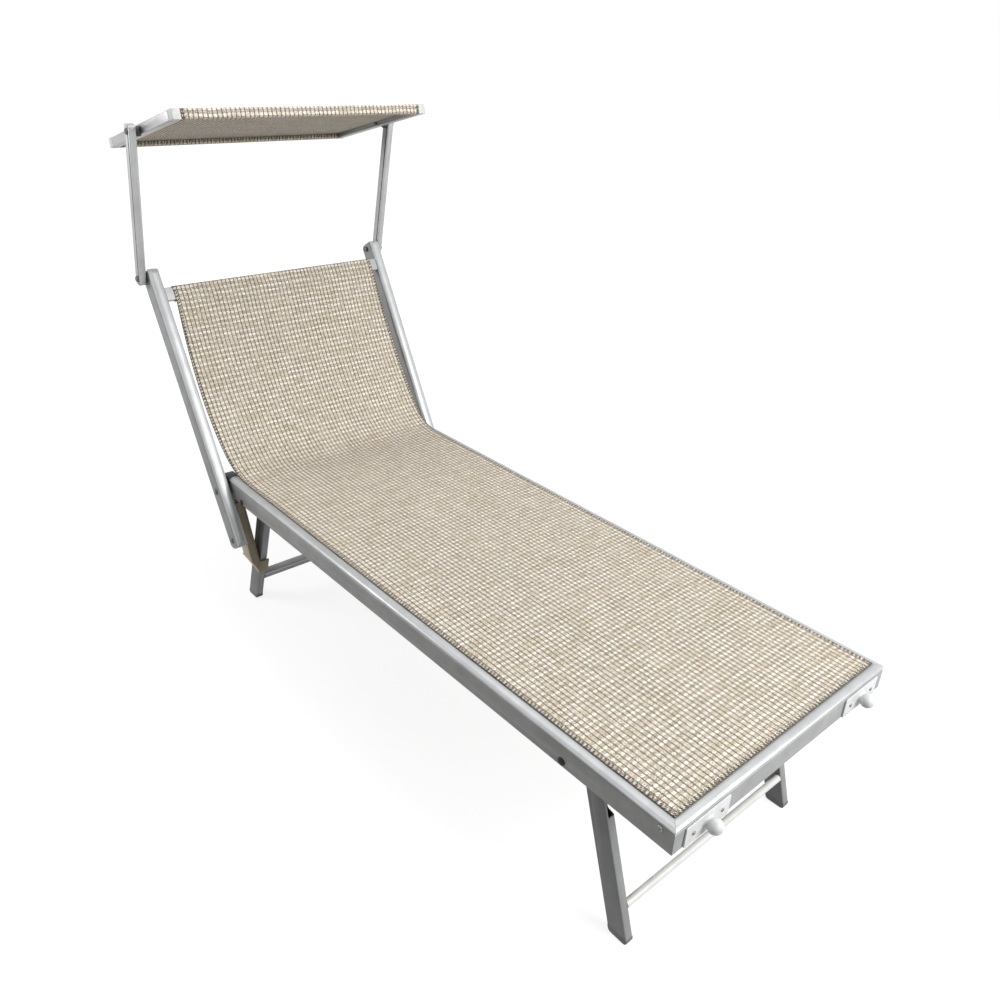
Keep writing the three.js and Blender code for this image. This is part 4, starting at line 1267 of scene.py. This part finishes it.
@dataclass
class BedFrame:
    """The rails, corner keys, hinge blocks, hooks, leg bolts, spacers and stay brackets.

    A hook's peg starts a little inside its plate (peg_sunk), and its bulb opens at an angle below its widest
    ring (peg_open, in degrees).
    """

    hook_width: float = 108
    hook_high: float = 40.3
    hook_plate: float = 3
    hook_middle: float = 222
    peg_neck: float = 21
    peg_bulb: float = 26
    peg_reach: float = 29
    peg_flare: float = 26
    peg_fillet: float = 2.5
    peg_sunk: float = 0.4
    peg_open: float = -43
    hook_screw_apart: float = 70
    hook_screw: PanScrew = PanScrew(7.5, 1.8)
    corner_screw: PanScrew = PanScrew(10.5, 3.0)
    corner_screw_at: Point = (26, 377)
    bead_seam: float = 0.4

    def build(self) -> None:
        """Builds every piece of the bed frame."""
        bead_from = SIZES.clear_under + SIZES.flat + self.bead_seam
        # The bead takes the painted-highlight aluminium; the side rails' flats take the painted shade, the foot
        # rail's flats the painted light
        in_bead: Callable[[Vector, Vector], int] = lambda p, n: int(p.z > bead_from)
        for name, _ in SIDES:
            refined(f"rail_{name}", (SHADED_RAIL_ALUMINIUM, LIT_BEAD_ALUMINIUM), Body.FRAME, BED, pick=in_bead)
            refined(f"corner_key_{name}", (GREY_PLASTIC,), Body.FRAME, BED, bevel=0.35)
            refined(f"hinge_block_{name}", (BLACK_PLASTIC,), Body.FRAME, BED, bevel=0.8)
            refined(f"stay_bracket_{name}", (WHITE_PLASTIC,), Body.FRAME, BED, bevel=0.6)
            for end in End:
                refined(f"leg_bolt_{end.value}_{name}", (DARK_BOLT,), Body.FRAME, BED)
                refined(f"leg_spacer_{end.value}_{name}", (WHITE_PLASTIC,), Body.FRAME, ACROSS, bevel=0.4)
        refined("foot_rail", (LIT_BAR_ALUMINIUM, LIT_BEAD_ALUMINIUM), Body.FRAME, ACROSS, pick=in_bead)
        self.build_hooks()
        self.build_corner_screws()

    def build_hooks(self) -> None:
        """The plates with a round peg on the foot rail's face, and their screws."""
        middle = SIZES.clear_under + SIZES.flat / 2
        half, high, corner = self.hook_width / 2, self.hook_high / 2, 4
        outline = rounded_outline(
            [(-half, -high, corner), (half, -high, corner), (half, high, corner), (-half, high, corner)]
        )
        outwards = (0, -1, 0)
        for name, side in SIDES:
            at = (side * self.hook_middle, -SIZES.gap, middle)
            place = BED.matrix() @ turned_to(outwards, at)
            plate = eased(prism(f"hook_plate_{name}", outline, 0, self.hook_plate, place), width=1.0, steps=3)
            settle(f"hook_plate_{name}", plate, (WHITE_PLASTIC,), Body.FRAME, BED, (f"hook_{name}",))
            peg = lathe(f"hook_peg_{name}", self.peg_profile(), 40, place)
            settle(f"hook_peg_{name}", peg, (WHITE_PLASTIC,), Body.FRAME, BED, smooth=60)
            for label, off in (("outer", 1), ("inner", -1)):
                x = side * (self.hook_middle + off * self.hook_screw_apart / 2)
                seat = (x, -SIZES.gap - self.hook_plate, middle)
                self.hook_screw.build(f"hook_screw_{label}_{name}", seat, outwards, Body.FRAME, ZINC)

    def peg_profile(self) -> list[Point]:
        """The peg's side view: a flared foot, a neck and a round end.

        Returns:
            Its points as (radius, height).
        """
        base, neck, bulb = self.hook_plate, self.peg_neck / 2, self.peg_bulb / 2
        flare = self.peg_flare / 2
        profile: list[Point] = [(0.0, base - self.peg_sunk), (flare, base - self.peg_sunk), (flare, base)]
        for i in range(1, 6):
            angle = math.pi / 2 * i / 5
            rise = self.peg_fillet * (1 - math.cos(angle))
            profile.append((flare - (flare - neck) * math.sin(angle), base + rise))
        centre, steps = self.peg_reach - bulb, 12
        for i in range(steps + 1):
            angle = math.radians(self.peg_open + (90 - self.peg_open) * i / steps)
            profile.append((bulb * math.cos(angle) if i < steps else 0.0, centre + bulb * math.sin(angle)))
        return profile

    def build_corner_screws(self) -> None:
        """The screw in each side rail that holds the mitred corner's key."""
        for name, side in SIDES:
            seat = (side * SIZES.bed_width / 2, *self.corner_screw_at)
            self.corner_screw.build(f"corner_screw_{name}", seat, (side, 0, 0), Body.FRAME, ZINC)


@dataclass
class Legs:
    """A pair of legs with their feet and the bar between them."""

    end: End
    body: Body
    place: Placement
    bar_at: Point
    bar_half: float = 231.7

    def build(self) -> None:
        """Builds both legs, their feet and the crossbar."""
        # Front faces take the painted-light copy, all other faces the painted-shade copy
        lit_facing: Callable[[Vector, Vector], int] = lambda p, n: int(n.y < -0.5)
        tubes = (SHADED_LEG_ALUMINIUM, LIT_LEG_FRONT_ALUMINIUM)
        for name, _ in SIDES:
            leg, foot = f"{self.end.value}_leg_{name}", f"{self.end.value}_foot_{name}"
            refined(leg, tubes, self.body, self.place, bevel=0.35, pick=lit_facing)
            refined(foot, (GREY_PLASTIC,), self.body, self.place, bevel=1.0, steps=3)
        self.build_bar()

    def build_bar(self) -> None:
        """Builds the bar between the legs."""
        raise NotImplementedError


@dataclass
class FrontLegs(Legs):
    """The front legs, joined by a round white tube."""

    end: End = End.FRONT
    body: Body = Body.FRONT_LEGS
    place: Placement = FRONT_LEG
    bar_at: Point = (-26.1, -305)
    diameter: float = 15
    wall: float = 1.5
    chamfer: float = 0.4

    def build_bar(self) -> None:
        """The powder-coated tube."""
        outer, half = self.diameter / 2, self.bar_half
        inner, edge, end = outer - self.wall, outer - self.chamfer, half - self.chamfer
        profile = [(inner, -half), (edge, -half), (outer, -end), (outer, end), (edge, half), (inner, half)]
        local = turned_to((1, 0, 0), (0, *self.bar_at))
        mesh = lathe("front_crossbar_dressed", profile, 40, self.place.matrix() @ local)
        grain = self.place.laid(Lay.CROSSWISE)
        settle("front_crossbar_dressed", mesh, (WHITE_TUBE,), self.body, grain, ("front_crossbar",))


@dataclass
class RearLegs(Legs):
    """The rear legs, joined by a grooved square bar, with the stays that prop them.

    A groove is given by the heights of its mouth and floor over the bar's middle, from above downwards.
    """

    end: End = End.REAR
    body: Body = Body.REAR_LEGS
    place: Placement = REAR_LEG
    bar_at: Point = (-22.3, -274)
    deep: float = 20
    high: float = 20
    groove_deep: float = 1.6
    grooves: tuple[tuple[float, ...], ...] = ((2, 1.2, -0.4, -1.2), (-3.4, -4.2, -5.4, -6.2))

    def build_bar(self) -> None:
        """The bar with two grooves along its front face, and the stays."""
        u, s = self.bar_at
        left, right = u - self.deep / 2, u + self.deep / 2
        low, top, floor = s - self.high / 2, s + self.high / 2, left + self.groove_deep
        corners = [(left, low, 1.5), (right, low, 2), (right, top, 2), (left, top, 2)]
        for above, floor_top, floor_low, below in self.grooves:
            corners += [(left, s + above, 0), (floor, s + floor_top, 0)]
            corners += [(floor, s + floor_low, 0), (left, s + below, 0)]
        outline = rounded_outline(corners)
        place = self.place.matrix() @ Matrix(((0, 0, 1, 0), (1, 0, 0, 0), (0, 1, 0, 0), (0, 0, 0, 1)))
        mesh = prism("rear_crossbar_dressed", outline, -self.bar_half, self.bar_half, place)
        grain = self.place.laid(Lay.CROSSWISE)
        # The bar takes the bead's painted-highlight aluminium
        settle("rear_crossbar_dressed", mesh, (LIT_BEAD_ALUMINIUM,), self.body, grain, ("rear_crossbar",))
        for name, _ in SIDES:
            refined(f"stay_{name}", (STAY_PLASTIC,), self.body, self.place, bevel=1.2, steps=3)


@dataclass
class Backrest:
    """The uprights, the top bar and their bolts."""

    bead_below: float = -21.4
    upright_x: float = 316.5
    upright_top: float = 558
    dome: float = 9

    def build(self) -> None:
        """Builds every rigid piece of the backrest."""
        in_bead: Callable[[Vector, Vector], int] = lambda p, n: int(p.y < self.bead_below)
        for name, side in SIDES:
            # The bead takes the painted-highlight aluminium
            finishes = (UPRIGHT_ALUMINIUM, LIT_BEAD_ALUMINIUM)
            bar = refined(f"upright_{name}", finishes, Body.BACKREST, BACK, pick=in_bead)
            domed(bar, BACK, side * self.upright_x, self.upright_top, self.dome)
            refined(f"back_pivot_bolt_{name}", (PIVOT_BOLT,), Body.BACKREST, BACK)
            refined(f"stop_pin_{name}", (PIVOT_BOLT,), Body.BACKREST, BACK)
        # The top bar takes the bead's painted-highlight aluminium
        refined("top_bar", (LIT_BEAD_ALUMINIUM,), Body.BACKREST, BACK.laid(Lay.CROSSWISE))


@dataclass
class Sling:
    """The woven seat and back: one cloth from the foot rail to its sleeve round the top bar.

    Between the place where it lifts off the seat and the top bar it hangs through points that are given as
    shares of the way back (runs) and of the way up (rises).
    """

    half_width: float = 284
    foot_edge: float = 15
    lift_off: float = 1326
    crown: float = 3
    spread: float = 9
    bend_from: Point = (1360, 420)
    bend_to: Point = (1446, 400)
    thick: float = 1.6
    bar_low: float = 474
    bar_high: float = 506
    bar_depth: float = 16
    bar_inset: float = 6
    sleeve_turn: float = 4
    sleeve_open: float = 2.2
    seam_below: float = 3
    seat_rows: int = 130
    curve_steps: int = 7
    runs: tuple[float, ...] = (0, 0.16, 0.295, 0.41, 0.515, 0.61, 0.7, 0.785, 0.865, 0.935, 1)
    rises: tuple[float, ...] = (0, 0.022, 0.085, 0.175, 0.28, 0.385, 0.5, 0.62, 0.745, 0.873, 1)

    def build(self) -> None:
        """Makes the cloth, bends it between frame and backrest, and sews its sleeve."""
        seat_z = SIZES.rail_top + SIZES.gap + self.thick / 2
        front = -SIZES.flat / 2 - self.bar_inset - self.thick / 2 - SIZES.gap
        end = along(SIZES.back_pivot, SIZES.recline, self.bar_low, front)
        over_y, over_z = end[0] - self.lift_off, end[1] - seat_z
        shares = zip(self.runs, self.rises)
        through = [(self.lift_off + run * over_y, seat_z + rise * over_z) for run, rise in shares]
        back = curve_through(through, self.curve_steps)
        flat, rows = self.lift_off - self.foot_edge, self.seat_rows
        seat = [(self.foot_edge + flat * i / rows, seat_z) for i in range(rows)]
        sleeve = [along(SIZES.back_pivot, SIZES.recline, s, u) for u, s in self.sleeve_path(front)]
        path = seat + back + sleeve
        wider = [self.spread * math.sin(math.pi * i / (len(back) - 1)) for i in range(len(back))]
        halves = [self.half_width + more for more in [0.0] * len(seat) + wider + [0.0] * len(sleeve)]
        cloth = Cloth("woven_sling", path, halves, self.thick, crown=self.crown_at(path, len(seat)))
        obj = dress("woven_sling", cloth.mesh(BED.matrix()), (CLOTH,), BED, smooth=50)
        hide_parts("seat_sling", "sling_bend", "back_sling")
        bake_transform(obj)
        self.sew(front)

    def crown_at(self, path: list[Point], seat_rows: int) -> Callable[[float, float], float]:
        """The seat's slight rise in its middle, as in the part's source.

        Args:
            path: the whole cloth's path.
            seat_rows: how many of its points lie on the seat.

        Returns:
            The rise from the shares across and along the cloth.
        """
        lengths = Cloth("", path, []).lengths()
        share = lengths[seat_rows] / lengths[-1]

        def lift(a: float, b: float) -> float:
            """The rise at one place.

            Args:
                a: the share of the width.
                b: the share of the length.

            Returns:
                The rise, in millimetres.
            """
            if b >= share:
                return 0.0
            return self.crown * (1 - (2 * a - 1) ** 2) * math.sin(math.pi * b / share)

        return lift

    def sleeve_path(self, front: float) -> list[Point]:
        """The way round the top bar: up its front, over, down its back and under to its front again.

        Args:
            front: where the cloth comes up, in u.

        Returns:
            The path's points in (u, s).
        """
        rear = front + self.bar_depth + self.thick + 2 * SIZES.gap
        low = self.bar_low - SIZES.gap - self.thick / 2
        top = self.bar_high + SIZES.gap + self.thick / 2
        turn, end = self.sleeve_turn, front + self.sleeve_open
        ring = rounded_outline([(front, low, 0), (front, top, turn), (rear, top, turn), (rear, low, turn)], 6)
        path = spaced(ring, SLEEVE_REACH)
        path += [(rear + (end - rear) * i / 3, low) for i in range(1, 4)]
        return [p for p in path if p[1] > self.bar_low or p[0] > front + 1]

    def sew(self, front: float) -> bpy.types.Object:
        """The seam under the sleeve.

        Args:
            front: where the cloth comes up, in u.

        Returns:
            The stitches as one piece.
        """
        row = (front - self.thick / 2, self.bar_low - self.seam_below)
        mesh = Seam().mesh("sling_seam", self.half_width, row, BACK.matrix())
        grain = BACK.laid(Lay.CROSSWISE)
        return settle("sling_seam", mesh, (WHITE_PLASTIC,), Body.BACKREST, grain, smooth=80)


@dataclass
class CanopyArms:
    """The slim arms with their bolts and spacers."""

    bead_below: float = -4.5
    groove_half: float = 1.3

    def part_of(self, point: Vector, normal: Vector) -> int:
        """Which part of the arm's section a face belongs to.

        Args:
            point: the face's middle, in the member's millimetres.
            normal: the way it faces.

        Returns:
            0 on the flat, 1 on the bead and 2 in the groove between them.
        """
        if abs(point.y - self.bead_below) < self.groove_half:
            return 2
        return int(point.y < self.bead_below)

    def build(self) -> None:
        """Builds the arms and what holds them to the uprights."""
        for name, _ in SIDES:
            # The bead takes the painted-highlight aluminium and the groove the painted-shade one
            finishes = (ARM_ALUMINIUM, LIT_BEAD_ALUMINIUM, SHADED_GROOVE_ALUMINIUM)
            refined(f"arm_{name}", finishes, Body.ARMS, ARM, pick=self.part_of)
            refined(f"arm_bolt_{name}", (PIVOT_BOLT,), Body.ARMS, ARM)
            refined(f"arm_spacer_{name}", (BLACK_PLASTIC,), Body.ARMS, ARM, bevel=0.4)


@dataclass
class Canopy:
    """The canopy's frame, its caps and bolts, and the woven cover with a sleeve round each bar.

    Where the cover leaves a sleeve it turns down from a little over the sheet (leaves_over) and runs on level.
    """

    half_width: float = 320
    front: float = -193.5
    back: float = 210.5
    rail_thick: float = 20
    rail_high: float = 22
    rise: float = 4
    cap: float = 20
    over_bottom: float = 12.8
    sag: float = 1.5
    thick: float = 1.6
    rows: int = 42
    seam_in: float = 4
    sleeve_turn: float = 3.5
    tucked: float = 2
    leaves_over: float = 1.4
    leaves_turn: float = 1.2
    leaves_run: float = 4

    def build(self) -> None:
        """Builds the frame and the cover."""
        for name, _ in SIDES:
            rail = f"canopy_rail_{name}"
            refined(rail, (ARM_ALUMINIUM,), Body.CANOPY, CANOPY.laid(Lay.LENGTHWISE), bevel=0.4)
            refined(f"canopy_bolt_{name}", (PIVOT_BOLT,), Body.CANOPY, CANOPY)
            refined(f"canopy_spacer_{name}", (BLACK_PLASTIC,), Body.CANOPY, CANOPY, bevel=0.4)
            for end in ("front", "back"):
                refined(f"canopy_cap_{end}_{name}", (WHITE_PLASTIC,), Body.CANOPY, CANOPY, bevel=0.9, steps=3)
        for end in ("front", "back"):
            refined(f"canopy_bar_{end}", (LIT_BAR_ALUMINIUM,), Body.CANOPY, CANOPY.laid(Lay.CROSSWISE))
        self.build_cover()

    def build_cover(self) -> None:
        """The woven cover as one cloth: a sleeve, the sheet and the other sleeve."""
        half = self.half_width - self.cap - SIZES.gap
        sheet_s = self.rise - self.rail_high / 2 + self.over_bottom
        front_u = self.front + self.rail_thick / 2
        back_u = self.back - self.rail_thick / 2
        first = self.sleeve(front_u, 1, sheet_s)
        last = self.sleeve(back_u, -1, sheet_s)
        start, end = first[-1][0], last[-1][0]
        shares = [i / self.rows for i in range(1, self.rows)]
        middle = [(start + (end - start) * a, sheet_s - self.sag * math.sin(math.pi * a)) for a in shares]
        path = first + middle + last[::-1]
        cloth = Cloth("canopy_cover", path, [half] * len(path), self.thick)
        mesh = cloth.mesh(CANOPY.matrix())
        grain = CANOPY.laid(Lay.CROSSWISE)
        obj = settle("canopy_cover", mesh, (CLOTH,), Body.CANOPY, grain, ("canopy_fabric",), smooth=50)
        seams = [
            self.sew("front", start + self.seam_in, half, sheet_s),
            self.sew("back", end - self.seam_in, half, sheet_s),
        ]

    def sleeve(self, middle: float, inwards: int, sheet_s: float) -> list[Point]:
        """The way round a bar, starting and ending where the sheet leaves it.

        Args:
            middle: the bar's middle in u.
            inwards: 1 where the sheet lies towards greater u, -1 where it lies the other way.
            sheet_s: the sheet's height.

        Returns:
            The path's points in (u, s).
        """
        reach = (self.rail_thick - self.thick) / 2
        rise = (self.rail_high - self.thick) / 2
        inner, outer = middle + inwards * reach, middle - inwards * reach
        low, top = self.rise - rise, self.rise + rise
        turn = self.sleeve_turn
        ring = rounded_outline([
            (inner, sheet_s - self.tucked, 0),
            (inner, low, turn),
            (outer, low, turn),
            (outer, top, turn),
            (inner, top, turn),
            (inner, sheet_s + self.leaves_over, self.leaves_turn),
            (inner + inwards * self.leaves_run, sheet_s, 0),
        ])
        return [ring[0], *spaced(ring, SLEEVE_REACH)]

    def sew(self, end: str, u: float, half: float, sheet_s: float) -> bpy.types.Object:
        """The seam beside a sleeve, on the cover's underside.

        Args:
            end: which sleeve.
            u: where the seam lies.
            half: half the cover's width.
            sheet_s: the sheet's height.

        Returns:
            The stitches as one piece.
        """
        mesh = Seam().mesh(f"canopy_seam_{end}", half, (u, sheet_s - self.thick / 2), CANOPY.matrix())
        grain = CANOPY.laid(Lay.CROSSWISE)
        return settle(f"canopy_seam_{end}", mesh, (WHITE_PLASTIC,), Body.CANOPY, grain, smooth=80)


# Camera, floor and light

WHITE = (1, 1, 1, 1)


@dataclass(frozen=True)
class PhotoCamera:
    """The camera solved from the photograph: its place in the bed frame's millimetres, and its axes."""

    at: tuple[float, float, float] = (-1094.2, -473.8, 1378.6)
    right: tuple[float, float, float] = (0.7536, -0.6563, 0.0384)
    down: tuple[float, float, float] = (-0.2813, -0.3749, -0.8835)
    ahead: tuple[float, float, float] = (0.5941, 0.6549, -0.4671)
    focal_px: float = 876.05
    frame_px: float = 1000
    sensor: float = 36
    clip: tuple[float, float] = (0.05, 60)

    def build(self) -> bpy.types.Object:
        """Makes it the scene's camera.

        Returns:
            The camera.
        """
        data = bpy.data.cameras.new("photo_camera")
        data.sensor_fit = "HORIZONTAL"
        data.sensor_width = self.sensor
        data.lens = self.focal_px * self.sensor / self.frame_px
        data.clip_start, data.clip_end = self.clip
        camera = put("photo_camera", data)
        x, y, z = self.at
        turn = Matrix((self.right, [-v for v in self.down], [-v for v in self.ahead])).transposed().to_4x4()
        camera.matrix_world = Matrix.Translation((x * MM, (y + SIZES.shift) * MM, z * MM)) @ turn
        bpy.context.scene.camera = camera
        return camera


@dataclass(frozen=True)
class Lamp:
    """One soft box: where it stands, what it points at and its side, in metres, and its power in watts."""

    name: str
    at: tuple[float, float, float]
    towards: tuple[float, float, float]
    side: float
    power: float

    def build(self) -> None:
        """Makes the lamp."""
        data = bpy.data.lights.new(self.name, "AREA")
        data.shape = "SQUARE"
        data.size = self.side
        data.energy = self.power
        lamp = put(self.name, data)
        aim = Vector(self.towards) - Vector(self.at)
        lamp.matrix_world = Matrix.Translation(self.at) @ aim.to_track_quat("-Z", "Y").to_matrix().to_4x4()


@dataclass
class Studio:
    """A pale floor that fades into a white surround, and plain soft lamps. Its sizes are metres."""

    floor_side: float = 40
    floor_grey: float = 0.28
    floor_glow: float = 0.84
    glow_from: float = 1.1
    glow_to: float = 3.0
    surround: float = 0.26
    lamps: tuple[Lamp, ...] = (
        Lamp("key_softbox", at=(1.0, -3.3, 2.4), towards=(0.0, 0.0, 0.4), side=2.2, power=145),
        Lamp("top_softbox", at=(0.3, 0.3, 3.6), towards=(0.0, 0.0, 0.4), side=2.6, power=36),
        Lamp("back_softbox", at=(-2.1, 1.9, 1.5), towards=(-0.3, 0.8, 0.5), side=1.2, power=34),
    )

    def build(self) -> None:
        """Builds the floor, the surround and the lamps."""
        self.build_floor()
        self.build_surround()
        for lamp in self.lamps:
            lamp.build()

    @staticmethod
    def seen(add: Adder) -> Socket:
        """Tells direct sight from light that comes off other pieces.

        Args:
            add: adds a node to the world or the floor.

        Returns:
            1 for what the camera, a glossy face or glass sees directly.
        """
        rays = add(Kind.SIGHT).node.outputs
        pair = add(Kind.LARGER, rays["Is Camera Ray"], rays["Is Glossy Ray"])
        return add(Kind.LARGER, pair, rays["Is Transmission Ray"])

    def build_floor(self) -> None:
        """A matt floor that keeps the shadow and shows white."""
        mesh = bpy.data.meshes.new("studio_floor")
        half = self.floor_side / 2
        corners = [(-half, -half, 0), (half, -half, 0), (half, half, 0), (-half, half, 0)]
        mesh.from_pydata(corners, [], [(0, 1, 2, 3)])
        floor = put("studio_floor", mesh)
        paper = bpy.data.materials.new("studio paper")
        paper.use_nodes = True
        paper.node_tree.nodes.clear()
        add = partial(add_node, paper.node_tree)
        grey = self.floor_grey
        matt = add(Kind.MATT, (grey, grey, grey, 1))
        away = add(Kind.EASE, add(Kind.LENGTH, add(Kind.POSITION)), self.glow_from, self.glow_to)
        level = add(Kind.ADD, add(Kind.MULTIPLY, away, 1 - self.floor_glow), self.floor_glow)
        glow = add(Kind.GLOW, WHITE, add(Kind.MULTIPLY, self.seen(add), level))
        add(Kind.MATERIAL_END, add(Kind.BOTH, matt, glow))
        mesh.materials.append(paper)

    def build_surround(self) -> None:
        """An even grey light all round that shows white."""
        world = bpy.data.worlds.new("surround")
        bpy.context.scene.world = world
        world.use_nodes = True
        world.node_tree.nodes.clear()
        add = partial(add_node, world.node_tree)
        level = add(Kind.ADD, self.surround, add(Kind.MULTIPLY, self.seen(add), 1 - self.surround))
        add(Kind.WORLD_END, add(Kind.LIGHT_AROUND, WHITE, level))


def main() -> None:
    """Builds the studio and every sub-assembly in order."""
    logging.basicConfig(level=logging.INFO, format="%(name)s: %(message)s")
    bpy.context.scene.view_settings.view_transform = "Standard"
    PhotoCamera().build()
    Studio().build()
    for assembly in (BedFrame(), FrontLegs(), RearLegs(), Backrest(), Sling(), CanopyArms(), Canopy()):
        assembly.build()
        LOG.info("%s is complete", type(assembly).__name__)
    bpy.context.view_layer.update()


if __name__ == "__main__":
    main()
